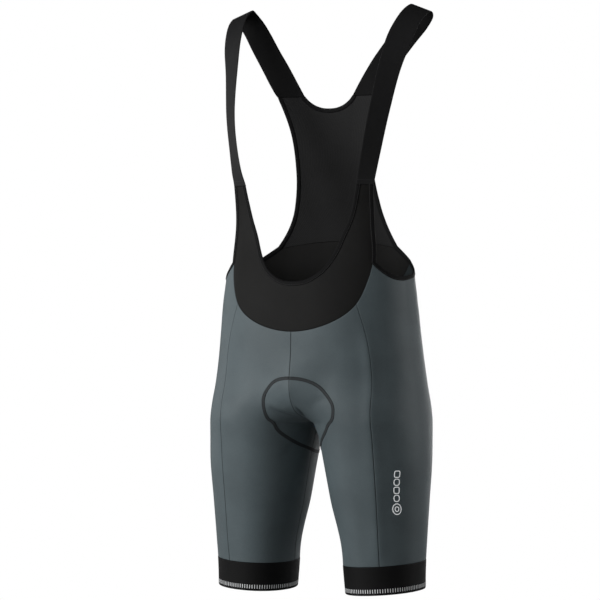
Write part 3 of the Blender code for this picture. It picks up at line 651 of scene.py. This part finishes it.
relief = {    # how the grey cloth leaves the plain form; pairs are heights over which a thing comes or goes
    "crest": 0.0090,           # over the front seam's lower end, and its share to either side
    "crestShare": 0.078,
    "crestStart": (-0.545, -0.620), "crestEnd": (-0.640, -0.670),
    "valley": 0.0016,          # beside the crest: its depth, its middle and its half width as shares
    "valleyAt": 0.0975, "valleyShare": 0.0312,
    "valleyEnd": (-0.620, -0.705),
    "seamRidge": 0.0028,       # how far the left side-front seam stands out, and the half width of that
    "seamWidth": 0.0120,
    "seamStart": (-0.49, -0.56), "seamEnd": (-0.86, -0.91),
    "rightSeam": 0.5,          # the right one's height beside the left one's
    "metresPerShare": 0.44,
    # creases are lines of (share, height), a depth that is negative for a ridge, and a half width
    "left": [
        ([(0.012, -0.6400), (0.020, -0.6520), (0.016, -0.6630)], 0.0032, 0.0022),
        ([(0.045, -0.6480), (0.085, -0.6330), (0.120, -0.6250)], 0.0008, 0.0075),
        ([(0.020, -0.6800), (0.070, -0.6980), (0.120, -0.7250)], 0.0012, 0.0080),
        ([(0.960, -0.6760), (0.880, -0.6900), (0.800, -0.6840)], 0.0022, 0.0090),
        ([(0.965, -0.6980), (0.900, -0.7200), (0.840, -0.7270)], 0.0015, 0.0080),
        ([(0.900, -0.6400), (0.820, -0.6480), (0.760, -0.6360)], -0.0009, 0.0110),
        ([(0.700, -0.8800), (0.800, -0.8640), (0.900, -0.8700)], 0.0009, 0.0080),
        ([(0.560, -0.4700), (0.640, -0.4800), (0.720, -0.4720)], 0.0008, 0.0100),
    ],
    "right": [
        ([(0.078, -0.6460), (0.050, -0.6550), (0.014, -0.6590)], 0.0032, 0.0042),
        ([(0.035, -0.6430), (0.075, -0.6300), (0.105, -0.6260)], 0.0007, 0.0080),
        ([(0.018, -0.6850), (0.060, -0.7050), (0.100, -0.7300)], 0.0010, 0.0080),
        ([(0.965, -0.6780), (0.890, -0.6960), (0.820, -0.6920)], 0.0020, 0.0085),
        ([(0.960, -0.7040), (0.880, -0.7240), (0.830, -0.7270)], 0.0013, 0.0080),
        ([(0.905, -0.6460), (0.830, -0.6520), (0.770, -0.6440)], -0.0010, 0.0100),
        ([(0.720, -0.8760), (0.820, -0.8620), (0.880, -0.8640)], 0.0007, 0.0090),
        ([(0.580, -0.4760), (0.660, -0.4840), (0.730, -0.4800)], 0.0007, 0.0100),
    ],
}
seamHeights = np.linspace(form["hem"], -0.48, 300)    # the side-front seam below the bib, worked out once
seamShares = sideFront(seamHeights)


def creaseDepth(points, line, width):
    # exp(-(d / width)^2) at a distance d from the line, times sin(pi t)^0.7 along it
    line = np.array(line)
    bends = bodyPoints(line[:, 0], line[:, 1])
    chain = np.stack([smoothCurve(np.arange(len(bends)), bends[:, k], np.linspace(0, len(bends) - 1, 13))
                      for k in range(3)], -1)
    depth = np.zeros(points.shape[:-1])
    for index, (a, b) in enumerate(zip(chain[:-1], chain[1:])):
        t = np.clip(np.sum((points - a) * (b - a), -1) / np.sum((b - a) ** 2), 0, 1)
        far = np.linalg.norm(points - a - t[..., None] * (b - a), axis=-1)
        along = (index + t) / (len(chain) - 1)
        depth = np.maximum(depth, np.exp(-(far / width) ** 2) * np.sin(np.pi * along) ** 0.7)
    return depth


def lift(share, height, left=True):
    # crest * (1 - share / size)^1.6, less a valley exp(-u^2) beside it, plus a ridge exp(-u^2) along
    # the side-front seam, each in its own window of height, less the creases
    crest = np.clip(1 - share / relief["crestShare"], 0, 1) ** 1.6
    total = relief["crest"] * window(height, relief["crestStart"], relief["crestEnd"]) * crest
    valley = np.exp(-((share - relief["valleyAt"]) / relief["valleyShare"]) ** 2)
    total = total - relief["valley"] * window(height, relief["crestStart"], relief["valleyEnd"]) * valley
    far = (share - np.interp(height, seamHeights, seamShares)) * relief["metresPerShare"]
    seam = window(height, relief["seamStart"], relief["seamEnd"]) * (1.0 if left else relief["rightSeam"])
    total = total + relief["seamRidge"] * seam * np.exp(-(far / relief["seamWidth"]) ** 2)
    points = bodyPoints(share, height)
    for line, depth, width in relief["left" if left else "right"]:
        total = total - depth * creaseDepth(points, line, width)
    return total


def pushed(points, normal, amount):
    # points moved along their normals, which lose their sideways part at the middle seams
    keep = np.stack([ramp(np.abs(points[..., 0]), 0, 0.03), np.ones(amount.shape), np.ones(amount.shape)], -1)
    return points + normal * keep * amount[..., None]


def clothAt(share, height, left=True):
    # a point of the grey cloth's outer face, and its normal: the cross product of the form's
    # differences over a thousandth of the way round and over half a millimetre up, each way
    share, height = np.broadcast_arrays(np.asarray(share, float), np.asarray(height, float))
    across = bodyPoints(np.clip(share + 1e-3, 0, 1), height) - bodyPoints(np.clip(share - 1e-3, 0, 1), height)
    upward = bodyPoints(share, height + 5e-4) - bodyPoints(share, height - 5e-4)
    normal = unit(np.cross(across, upward))
    point = pushed(bodyPoints(share, height), normal, lift(share, height, left))
    turn = (1 if left else -1, 1, 1)
    return point * turn, normal * turn


frontShare, sideShare = frontFlat(), sideFlat()
for left, end in ((True, "left"), (False, "right")):
    for name, flat in (("front", frontShare), ("side", sideShare)):
        grid = bodyPoints(flat[..., 0], flat[..., 1])
        grid = pushed(grid, normalsOf(grid), lift(flat[..., 0], flat[..., 1], left))
        grid = grid if left else mirrored(grid)
        node = name + "_" + end
        shell(node + "_cloth", grid, name, greyCloth, node, greyLiningPaintedShade)
print("fronts and sides made")

bib = ruledGrid("bib", "neck", 108, (0.002, 0.005, 0.009), 40)
yoke = ruledGrid("yoke", "high", 56, (0.003, 0.008, 0.014), 30, True)
net, strap, cuff = netGrid(), strapGrid(), cuffGrid()
shell("bib_front_cloth", bib, "bib", blackCloth, "bib_front")
shell("back_yoke_cloth", yoke, "yoke", blackCloth, "back_yoke")
shell("back_net_cloth", net, "net", netCloth, "back_net")
sewn = {"strapEnds": 0.025, "cuffOut": 0.0004}    # length of a strap's sewn ends, height of a cuff
gone = lengthsOf(strap, 0)[:, :1]    # a strap stands out by its thickness, but not where its ends are sewn on
gone = np.minimum(gone, gone[-1] - gone)
standing = cloths["strap"][0] * ramp(gone, 0, sewn["strapEnds"])
for end, turned in (("left", lambda grid: grid), ("right", mirrored)):
    shell("strap_" + end + "_tape", turned(strap), "strap", strapTape, "strap_" + end,
          blackLining, out=standing)
    shell("cuff_" + end + "_band", turned(cuff), "cuff", cuffCloth, "cuff_" + end,
          rolled="tb", out=sewn["cuffOut"])
print("bib, back, straps and cuffs made")


def edgeRun(grid, side, part=slice(None)):
    # an edge of a grid, or part of one: points, unit directions out of the panel, normals
    at, by = {"top": (np.s_[0, part], np.s_[3, part]), "bottom": (np.s_[-1, part], np.s_[-4, part]),
              "left": (np.s_[part, 0], np.s_[part, 3])}[side]
    edge, normal = grid[at], normalsOf(grid)[at]
    out = unit(np.cross(np.gradient(edge, axis=0), normal))
    return edge, out if np.sum(out * (edge - grid[by])) > 0 else -out, normal


binding = {    # folded tape: distance out from the cloth's edge and height over its face, all round
    "profile": [(-0.0022, 0.0001), (-0.0020, 0.0006), (-0.0008, 0.0008), (0.0015, 0.0009),
                (0.0036, 0.0008), (0.0046, 0.0004), (0.0050, -0.0006), (0.0046, -0.0015),
                (0.0036, -0.0019), (0.0015, -0.0020), (-0.0012, -0.0019), (-0.0022, -0.0015)],
    "pitch": 0.0025,
    "tape": 0.012,             # width of the tape before it is folded
    "stitchIn": -0.0010,       # stitch line, from the cloth's edge
    "stitchUp": 0.00080,
    "stitch": (0.0021, 0.00045, 0.0003, 0.0029),    # length, half width, height, pitch
    "barRows": (5, 7, -8, -6),    # rows of the straps that are stitched down
    "barUp": 0.0002,
}


def bindingOn(names, *runs):
    # the runs joined end to end, read at even distances, with the tape's profile carried along
    edge, out, normal = (np.concatenate([run[k][first:] for run, first in zip(runs, (0, 1, 1, 1))])
                         for k in range(3))
    edge, out, normal = even(edge, binding["pitch"], out, normal)
    out[[0, -1], 2] = 0
    out = unit(out)
    length = float(lengthsOf(edge, 0)[-1])
    lines = []
    for name, side in names:
        turn = np.array((side, 1, 1))
        tape = sweep(name + "_tape", edge * turn, out * turn, normal * turn, binding["profile"], bindingTape)
        finishPiece(tape, name)
        line = edge + out * binding["stitchIn"] + normal * binding["stitchUp"]
        lines.append((line * turn, normal * turn))
    return lines


side = bodyPoints(sideShare[..., 0], sideShare[..., 1])
half = bib.shape[1] // 2
armholeZ = column(form["bib"], "lowZ", form["armholeAt"])
toArmhole = half + int(np.argmin(np.abs(bib[-1, half:, 2] - armholeZ)))
sideTop = int(np.argmin(np.linalg.norm(side[0] - yoke[-1, 0], axis=1)))
rim = np.flatnonzero(np.abs(net[0, :, 0]) <= form["scoop"]["rows"][-1][0] + 1e-4)
lines = bindingOn([("binding_neck_front", 1)], edgeRun(bib, "top"))
lines += bindingOn([("binding_neck_back", 1)], edgeRun(net, "top", slice(rim[0], rim[-1] + 1)))
lines += bindingOn([("binding_armhole_left", 1), ("binding_armhole_right", -1)],
                   edgeRun(bib, "bottom", slice(None, toArmhole - 1, -1)),
                   edgeRun(side, "top", slice(0, sideTop + 1)),
                   edgeRun(yoke, "left", slice(None, None, -1)),
                   edgeRun(net, "left", slice(None, None, -1)))
strapNormal = normalsOf(strap)
for row in binding["barRows"]:
    line, normal = strap[row, 3:-3], strapNormal[row, 3:-3]
    lines += [((line + normal * binding["barUp"]) * turn, normal * turn) for turn in ((1, 1, 1), (-1, 1, 1))]
stitches("binding_stitches", lines, "binding", *binding["stitch"])
print("bindings made")

allowance = {    # the seams' cut edges, taped flat inside the cloth
    "width": 0.0046, "inseamWidth": 0.0036,
    "near": -0.0011, "deep": -0.0022, "middleDeep": -0.0024,    # from the cloth's outer face
    "pitch": 0.003,
    "frontTop": -0.520, "backTop": -0.459, "sideTop": -0.479,
    "aboveCrotch": 0.0015, "belowCrotch": 0.004, "aboveCuff": 0.001,
}


def ridge(name, path, normal, width=allowance["width"]):
    # a flat bar with rounded edges below the path
    path, normal = even(path, allowance["pitch"], normal)
    across = unit(np.cross(np.gradient(path, axis=0), normal))
    w, near, deep = width / 2, allowance["near"], allowance["deep"]
    middle = (near + deep) / 2
    profile = [(-w, middle), (-0.8 * w, near), (0.8 * w, near), (w, middle),
               (0.8 * w, deep), (0, allowance["middleDeep"]), (-0.8 * w, deep)]
    finishPiece(sweep(name, path, across, normal, profile, seamTape))


crotchEnd = form["crotch"] + allowance["aboveCrotch"]
for name, share, count in (("front", 0.0, 60), ("back", 1.0, 80)):
    path, normal = clothAt(share, np.linspace(allowance[name + "Top"], crotchEnd, count))
    path[:, 0], normal[:, 0] = 0, 0
    ridge(name + "_seam_inside", path, unit(normal))
leg = np.linspace(form["crotch"] - allowance["belowCrotch"], form["cuffSeam"] + allowance["aboveCuff"], 90)
rows = np.linspace(allowance["sideTop"], form["cuffSeam"], 160)
for left, end in ((True, "left"), (False, "right")):
    ridge("inseam_" + end + "_inside", *clothAt(0.0, leg, left), allowance["inseamWidth"])
    ridge("side_seam_" + end + "_inside", *clothAt(sideFront(rows), rows, left))
path, out, normal = edgeRun(bib, "bottom", slice(2 * half - toArmhole, toArmhole + 1))
ridge("bib_seam_inside", path, normal)
print("seams made")

stitchLoop = {    # where the pad is sewn on, as share and height; the back's is from the back seam
    "left": [(0, -0.5969), (0.045, -0.6013), (0.080, -0.6105), (0.108, -0.6281), (0.132, -0.6489),
             (0.139, -0.6734), (0.106, -0.6958), (0, -0.7200)],
    "right": [(0, -0.5969), (0.042, -0.6021), (0.070, -0.6169), (0.090, -0.6325), (0.100, -0.6550),
              (0.107, -0.6780), (0.070, -0.7000), (0, -0.7170)],
    "back": [(0, -0.7180), (0.04, -0.7230), (0.087, -0.721), (0.12, -0.695), (0.1625, -0.661),
             (0.2078, -0.609), (0.195, -0.593), (0.1665, -0.574), (0.134, -0.554), (0.086, -0.530),
             (0.027, -0.510), (0, -0.507)],
    "profile": [(-0.0028, -0.0004), (-0.0027, 0.0004), (-0.0020, 0.0007), (-0.0010, 0.0005),
                (0.0010, 0.0005), (0.0020, 0.0007), (0.0027, 0.0004), (0.0028, -0.0004)],
    "pitch": 0.0025,
    "smoothing": 3,            # points either side that are averaged
    "stitchAt": 0.0020, "stitchUp": 0.00065,
    "stitch": (0.0022, 0.0004, 0.0002, 0.0030),    # length, half width, height, pitch
    "metresPerShare": 0.42,
}


def loopPath(left):
    # front part and back part of one leg's half of the loop, each a smooth curve through its points
    parts = []
    for key in ("left" if left else "right", "back"):
        table = np.array(stitchLoop[key], float)
        gone = lengthsOf(table * (stitchLoop["metresPerShare"], 1), 0)
        at = np.linspace(0, gone[-1], 400)
        front = key != "back"
        share = smoothCurve(gone, table[:, 0], at, -1 if front else 0)
        height = smoothCurve(gone, table[:, 1], at, 1 if front else 0)
        parts.append(clothAt(np.clip(share if front else 1 - share, 0, 1), height, left))
    path, normal = (np.concatenate([a, b[1:]]) for a, b in zip(*parts))
    path[0, 0] = path[-1, 0] = 0
    path, normal = even(path, stitchLoop["pitch"], normal)
    reach = stitchLoop["smoothing"]
    smoothed = np.array([path[max(0, i - reach):i + reach + 1].mean(0) for i in range(len(path))])
    path[reach + 1:-reach - 1] = smoothed[reach + 1:-reach - 1]
    across = unit(np.cross(np.gradient(path, axis=0), normal))
    across[0] = across[-1] = (0, *across[0][1:])
    return path, unit(across), normal


lines = []
for left, end in ((True, "left"), (False, "right")):
    path, across, normal = loopPath(left)
    finishPiece(sweep("pad_seam_" + end, path, across, normal, stitchLoop["profile"], loopTape))
    lines += [(path + across * out * stitchLoop["stitchAt"] + normal * stitchLoop["stitchUp"], normal)
              for out in (-1, 1)]
stitches("pad_seam_stitches", lines, "grey_cloth", *stitchLoop["stitch"])
print("pad's sewing made")

motif = {    # plain outlined shapes up the left leg: height of the middle, half height, half width, power
    "share": 0.377, "middle": -0.78,
    "rows": [(-0.8065, 0.0086, 0.0076, 2.0), (-0.8065, 0.0038, 0.0033, 2.0), (-0.7890, 0.0051, 0.0046, 2.6),
             (-0.7760, 0.0051, 0.0046, 4.0), (-0.7630, 0.0051, 0.0046, 2.6), (-0.7500, 0.0051, 0.0046, 4.0)],
    "points": 56,
    "line": 0.00075,           # half the printed line's width
    "raised": 0.00022, "sunk": -0.0002,
}


def printedShapes():
    # closed outlines |u/a|^p + |v/b|^p = 1 laid on the cloth, each a thin flat bar
    share, w, up, sunk = motif["share"], motif["line"], motif["raised"], motif["sunk"]
    profile = [(-w, sunk), (-w, up * 0.6), (-0.6 * w, up), (0.6 * w, up), (w, up * 0.6), (w, sunk)]
    aside = bodyPoints(share + 0.01, motif["middle"]) - bodyPoints(share, motif["middle"])
    width = np.linalg.norm(aside) / 0.01
    turn = np.linspace(0, 2 * np.pi, motif["points"] + 1)[:-1]
    c, s = np.cos(turn), np.sin(turn)
    for index, (height, tall, wide, power) in enumerate(motif["rows"]):
        u = wide * np.sign(c) * np.abs(c) ** (2 / power)
        v = tall * np.sign(s) * np.abs(s) ** (2 / power)
        path, normal = clothAt(share + u / width, height + v)
        across = unit(np.cross(np.roll(path, -1, 0) - np.roll(path, 1, 0), normal))
        name = "print_" + str(index + 1)
        finishPiece(sweep(name, path, across, normal, profile, printWithPaintedGlow, True))


# upright marks round each hem: from low to high over it, and from sunk in the band to raised over it
ticks = {"pitch": 0.0041, "width": 0.0013, "low": 0.0038, "high": 0.0100, "raised": 0.00055, "sunk": 0.0002}


def tickMarks(name, turn):
    # plates with corners at +-width/2 and low and high, outer and inner
    share = np.linspace(0, 1, 400)
    gone = lengthsOf(bodyPoints(share, tilted(share, form["hem"])), 0)
    count = int(gone[-1] / ticks["pitch"])
    middle = (np.arange(count) + 0.5) * gone[-1] / count
    reach = np.stack([middle - ticks["width"] / 2, middle + ticks["width"] / 2], -1)
    share = np.interp(reach, gone, share)[:, :, None]
    point, normal = clothAt(share, tilted(share, form["hem"]) + np.array([ticks["low"], ticks["high"]]))
    plate = np.stack([point + normal * ticks["raised"], point + normal * ticks["sunk"]], 3)
    # a corner's number is side * 4 + up * 2 + depth
    faces = np.array([(0, 4, 6, 2), (1, 3, 7, 5), (0, 1, 5, 4), (2, 6, 7, 3), (0, 2, 3, 1), (4, 5, 7, 6)])
    faces = (np.arange(count)[:, None, None] * 8 + faces).reshape(-1, 4)[:, ::turn]
    marks = newMesh(name, plate.reshape(-1, 3) * (turn, 1, 1), faces, palePrint, smooth=False)
    finishPiece(marks)


printedShapes()
tickMarks("hem_ticks_left", 1)
tickMarks("hem_ticks_right", -1)
print("prints made")

pad = {    # lengths along it are shares of its run, from the front end over the crotch and up the back
    "from": -0.592, "to": -0.506,
    "rows": 250, "halfCols": 66,
    "clear": 0.0055,           # from the cloth's outer face to the pad's back
    "edge": 0.0018, "body": 0.0046,
    "outline": {"columns": "along halfWidth", "rows": [
        (0, 0.014), (0.033, 0.044), (0.076, 0.059), (0.12, 0.0675), (0.164, 0.0696), (0.25, 0.0665),
        (0.34, 0.0595), (0.43, 0.058), (0.514, 0.063), (0.557, 0.072), (0.601, 0.092), (0.645, 0.105),
        (0.732, 0.112), (0.82, 0.109), (0.907, 0.092), (0.951, 0.072), (1, 0.022)]},
    "channelFrom": 0.242, "channelTo": 0.771,
    "channel": {"columns": "along halfWidth round pitch", "rows": [
        (0, 0.0, 0.020, 0.0033), (0.242, 0.003, 0.020, 0.0031), (0.29, 0.013, 0.020, 0.0030),
        (0.41, 0.018, 0.018, 0.0023), (0.526, 0.024, 0.014, 0.0026), (0.63, 0.027, 0.009, 0.0040),
        (0.71, 0.016, 0.006, 0.0046), (0.771, 0.0, 0.006, 0.0048), (1, 0.0, 0.006, 0.0050)]},
    "frontSlope": 0.32, "backSlope": 0.50,    # how fast the lines close in front of it and behind it
    "slopeLength": 0.40,
    "grooveStart": (0.20, 0.30), "grooveEnd": (0.72, 0.82), "grooveLevels": (-0.4, 1.2),
    "groove": 0.0016, "step": 0.0002,
    "sitBones": (0.74, 0.062, 0.0016), "sitBoneSize": (0.034, 0.026),
    "linesStart": (0.01, 0.05), "linesEnd": (0.86, 0.95),
    "linesSide": (0.80, 0.97), "linesLevels": (-0.3, 0.2),
    "waist": (0.42, 0.10), "waistLevels": (7, 11), "wingLevels": (6, 10),
    "stroke": (0.585, 0.763, 0.0014),
    "holesStart": (0.241, 0.249), "holesEnd": (0.320, 0.41), "holesLevels": (0.0, -0.6),
    "holePitch": 0.0048,
    "blue": (0.0040, 0.135, 0.47, 1), "lineBlue": (0.050, 0.33, 0.72, 1),
}


def padGrid():
    # rows across the line front seam - crotch - back seam; a row's points lie level with the line
    # where it is steep, and fold down both legs where it runs level
    rise = pad["from"] + (form["crotch"] - pad["from"]) * np.sin(np.linspace(0, np.pi / 2, 120))
    front = bodyPoints(0.0, rise)
    back = bodyPoints(1.0, np.concatenate([rise[::-1], np.linspace(pad["from"], pad["to"], 40)[1:]]))
    line = np.concatenate([front, back[1:]])
    gone = lengthsOf(line, 0)
    at = spaced(1, pad["rows"], (0.0006, 0.0016, 0.003))
    along = gone[-1] * at
    height = np.interp(along, gone, line[:, 2])[:, None]
    slope = np.abs(np.interp(along, gone, np.gradient(line[:, 1], gone)))[:, None]
    near = np.concatenate([np.linspace(0, 0.97, pad["halfCols"]), [0.98, 0.99, 0.996, 1.0]])[None, :]
    wide = np.maximum(column(pad["outline"], "halfWidth", at), 0.004)[:, None] * near
    run, levelAt = wide * np.sqrt(np.clip(1 - slope ** 2, 0, 1)), height - wide * slope
    steps = 120    # of half the way round, along which each point's run is found
    share = np.linspace(0, 0.5, steps + 1)[:, None, None]
    behind = (along > gone[len(front) - 1])[:, None]
    far = lengthsOf(bodyPoints(np.where(behind, 1 - share, share), levelAt), 0)
    below = np.clip((far <= run).sum(0) - 1, 0, steps - 1)[None]
    start, stop = np.take_along_axis(far, below, 0)[0], np.take_along_axis(far, below + 1, 0)[0]
    found = (below[0] + (run - start) / (stop - start)) / (2 * steps)
    found = np.where(behind, 1 - found, found)
    left = bodyPoints(found, levelAt)
    left[:, 0, 0] = 0
    grid = np.concatenate([left[:, :0:-1] * (-1, 1, 1), left], 1)
    raised = np.concatenate([lift(found, levelAt, False)[:, :0:-1], lift(found, levelAt, True)], 1)
    return grid, raised, at[:, None], np.concatenate([-wide[:, :0:-1], wide], 1), gone[-1]


def calmed(values, passes):
    # each value becomes a quarter of both its neighbours' and half its own, along rows and columns
    for step in range(passes):
        for axis in (0, 1):
            wider = np.concatenate([np.take(values, [0], axis), values, np.take(values, [-1], axis)], axis)
            first = np.arange(values.shape[axis])
            before, own, after = (np.take(wider, first + k, axis) for k in range(3))
            values = (before + 2 * own + after) / 4
    return values


def padField(at, across):
    # contour level: (sqrt(u^2 + r^2) - r - c) / pitch, c the channel's own half width inside it
    # and falling away in front of it and behind it; whole numbers are the lines
    wide, rounding, pitch = (column(pad["channel"], name, at) for name in ("halfWidth", "round", "pitch"))
    inside = np.sqrt(np.clip(wide, 0, None) ** 2 + rounding ** 2) - rounding
    ahead = pad["frontSlope"] * (pad["channelFrom"] - at) * pad["slopeLength"]
    after = pad["backSlope"] * (at - pad["channelTo"]) * pad["slopeLength"]
    edge = np.where(ahead > 0, -ahead, np.where(after > 0, -after, inside))
    return (np.sqrt(across ** 2 + rounding ** 2) - rounding - edge) / pitch


def padLook():
    # two blues, the paler along whole contour levels; painted shade darkens the sunk holes and stroke, and it
    # is darker in the waist
    look, shader = newLook("bluePad", 0.62, 0.3, 0.25, 0.4)
    level = math(look, "FRACT", math(look, "ADD", stored(look, "contour"), 0.5))
    far = math(look, "ABSOLUTE", math(look, "SUBTRACT", level, 0.5))
    lines = times(look, mapped(look, far, 0.07, 0.16, 1.0, 0.0), stored(look, "lines"))
    cells = vector(look, "SCALE", in0=clothPlace(look), Scale=1 / pad["holePitch"])
    spot = vector(look, "DISTANCE", "Value", in0=vector(look, "FRACTION", in0=cells), in1=(0.5, 0.5, 0.0))
    holes = mapped(look, spot, 0.20, 0.28, 1.0, 0.0)
    # painted shade: the holes and the stroke are sunk in the bump and darkened in colour
    sunkWithPaintedShade = math(look, "MAXIMUM", times(look, holes, stored(look, "holes")), stored(look, "stroke"))
    broad, fine = noiseOf(look, 22.0, 3.0), noiseOf(look, 1300.0, 1.0)
    tone = math(look, "ADD", mapped(look, broad, 0.3, 0.7, 0.86, 1.06),
                mapped(look, fine, 0.3, 0.7, -0.08, 0.08))
    for shade, share in ((sunkWithPaintedShade, 0.8), (stored(look, "wing"), 0.3)):
        tone = times(look, tone, math(look, "SUBTRACT", 1.0, times(look, shade, share)))
    mixed = addNode(look, "Mix", {"data_type": "RGBA"}, in0=lines, in6=pad["blue"], in7=pad["lineBlue"])
    raised = math(look, "SUBTRACT", times(look, fine, 0.2), math(look, "ADD", lines, sunkWithPaintedShade))
    return dressed(look, shader, mixed.outputs[2], tone, raised, 0.0004, 0.6)


def padPiece():
    # the back lies inside the cloth; the face is raised over it by the edge's thickness and the body's
    # times swell, (sin(pi * along) * (1 - across^2))^(1/4), less the groove, more at the sit bones
    grid, raised, at, across, length = padGrid()
    rows, cols = across.shape
    normal, rim = normalsOf(grid), 5    # the outermost rows are too short to give a steady normal
    normal[:, :rim], normal[:, -rim:] = normal[:, rim:rim + 1], normal[:, -rim - 1:-rim]
    normal[:rim], normal[-rim:] = normal[rim], normal[-rim - 1]
    normal = unit(calmed(normal, 4))
    level = padField(at, across)
    share = across / np.abs(across[:, -1:])
    swell = np.sqrt(np.sqrt(np.clip(np.sin(np.pi * at), 0, 1) * np.clip(1 - share ** 2, 0, 1)))
    groove = (1 - ramp(level, *pad["grooveLevels"])) * window(at, pad["grooveStart"], pad["grooveEnd"])
    (boneAt, boneOut, boneHigh), (boneLong, boneWide) = pad["sitBones"], pad["sitBoneSize"]
    bone = np.exp(-(((at - boneAt) * length / boneLong) ** 2 + ((np.abs(across) - boneOut) / boneWide) ** 2))
    steps = pad["step"] * np.cos(2 * np.pi * level) * ramp(level, 0, 1)
    thick = pad["edge"] * (0.35 + 0.65 * ramp(swell, 0, 0.35)) - pad["groove"] * groove
    thick = thick + (pad["body"] + boneHigh * bone - steps) * swell
    back = grid + normal * (calmed(raised, 6) - pad["clear"])[..., None]
    face = back - normal * thick[..., None]
    waist = np.exp(-((at - pad["waist"][0]) / pad["waist"][1]) ** 2)
    lines = ramp(level, *pad["linesLevels"]) * (1 - ramp(np.abs(share), *pad["linesSide"]))
    lines = lines * window(at, pad["linesStart"], pad["linesEnd"])
    lines = lines * (1 - waist * ramp(level, *pad["waistLevels"]))
    first, last, reach = pad["stroke"]
    values = {"contour": level, "lines": lines, "wing": waist * ramp(level, *pad["wingLevels"]),
              "holes": ramp(level, *pad["holesLevels"]) * window(at, pad["holesStart"], pad["holesEnd"]),
              "stroke": ((at > first) & (at < last) & (np.abs(across) < reach)) * 1.0}
    values = {name: np.concatenate([0 * value, value]) for name, value in values.items()}
    uv = np.tile(pair(across, at * length).reshape(-1, 2), (2, 1))
    piece = newMesh("pad_body", np.stack([back, face]), wallFaces(rows, cols, False), padLook(), values, uv)
    finishPiece(piece, "pad")


padPiece()
print("pad made")

studio = {
    "middle": (0.0, -0.05, -0.47),
    "lights": {    # azimuth from the front towards the wearer's left, height, watts
        "key": (-45, 0.2, 40), "keyHigh": (-45, 1.6, 14), "frontLow": (-25, 0.2, 10),
        "frontHigh": (-25, 1.6, 16), "top": (-5, 1.6, 14), "sideRight": (-105, 0.2, 9),
        "rimLeft": (115, 0.2, 15), "rimLeftHigh": (115, 1.6, 14), "backLeft": (140, 0.2, 8),
        "back": (180, 0.2, 14), "backRight": (-150, 0.4, 8),
    },
    "lightFar": 3.0, "lightWide": 0.9, "lightTall": 1.8,
    "sky": 0.02,
    "floorHeight": -1.05, "floorRadius": 8, "floorSides": 96,
    "camera": (2.126, -4.576, -0.437),
    "aim": (-0.0266, -0.0627, -0.472),
    "lens": 183.0,
}

scene = bpy.context.scene
scene.view_settings.view_transform = "Standard"
world = bpy.data.worlds.new("studio")
scene.world = world
world.use_nodes = True
sky = world.node_tree.nodes["Background"]
ray = addNode(world, "LightPath").outputs["Is Camera Ray"]    # the sky is plain white only to the eye
world.node_tree.links.new(mapped(world, ray, 0.0, 1.0, studio["sky"], 1.0), sky.inputs[1])
sky.inputs[0].default_value = (1, 1, 1, 1)


def placed(name, data, place, target):
    # an object at a place, turned so that its -Z looks at the target
    thing = bpy.data.objects.new(name, data)
    thing.location = place
    thing.rotation_euler = (Vector(target) - Vector(place)).to_track_quat("-Z", "Y").to_euler()
    scene.collection.objects.link(thing)
    return thing


for name, (azimuth, height, watts) in studio["lights"].items():
    lamp = bpy.data.lights.new(name, "AREA")
    lamp.shape, lamp.size, lamp.size_y = "RECTANGLE", studio["lightWide"], studio["lightTall"]
    lamp.energy = watts
    a, far = np.radians(azimuth), studio["lightFar"]
    x, y, z = studio["middle"]
    placed(name, lamp, (x + far * np.sin(a), y - far * np.cos(a), z + height), studio["middle"])

floorLook, shader = newLook("floor", 0.9, 0.1)    # it too is plain white to the eye
shader.inputs["Base Color"].default_value = (0.30, 0.30, 0.30, 1)
glow = addNode(floorLook, "Emission", Color=(1, 1, 1, 1), Strength=1.0)
ray = addNode(floorLook, "LightPath").outputs["Is Camera Ray"]
shown = addNode(floorLook, "MixShader", in0=ray, in1=shader.outputs[0], in2=glow.outputs[0])
tree = floorLook.node_tree
tree.links.new(shown.outputs[0], tree.nodes["Material Output"].inputs[0])
turn, radius = np.linspace(0, 2 * np.pi, studio["floorSides"] + 1)[:-1], studio["floorRadius"]
disc = np.stack([radius * np.cos(turn), radius * np.sin(turn), 0 * turn + studio["floorHeight"]], -1)
newMesh("floor", disc, [list(range(len(disc)))], floorLook, smooth=False)

lens = bpy.data.cameras.new("camera")
lens.lens, lens.sensor_width, lens.clip_end = studio["lens"], 36.0, 100.0
scene.camera = placed("camera", lens, studio["camera"], studio["aim"])
print("studio made")
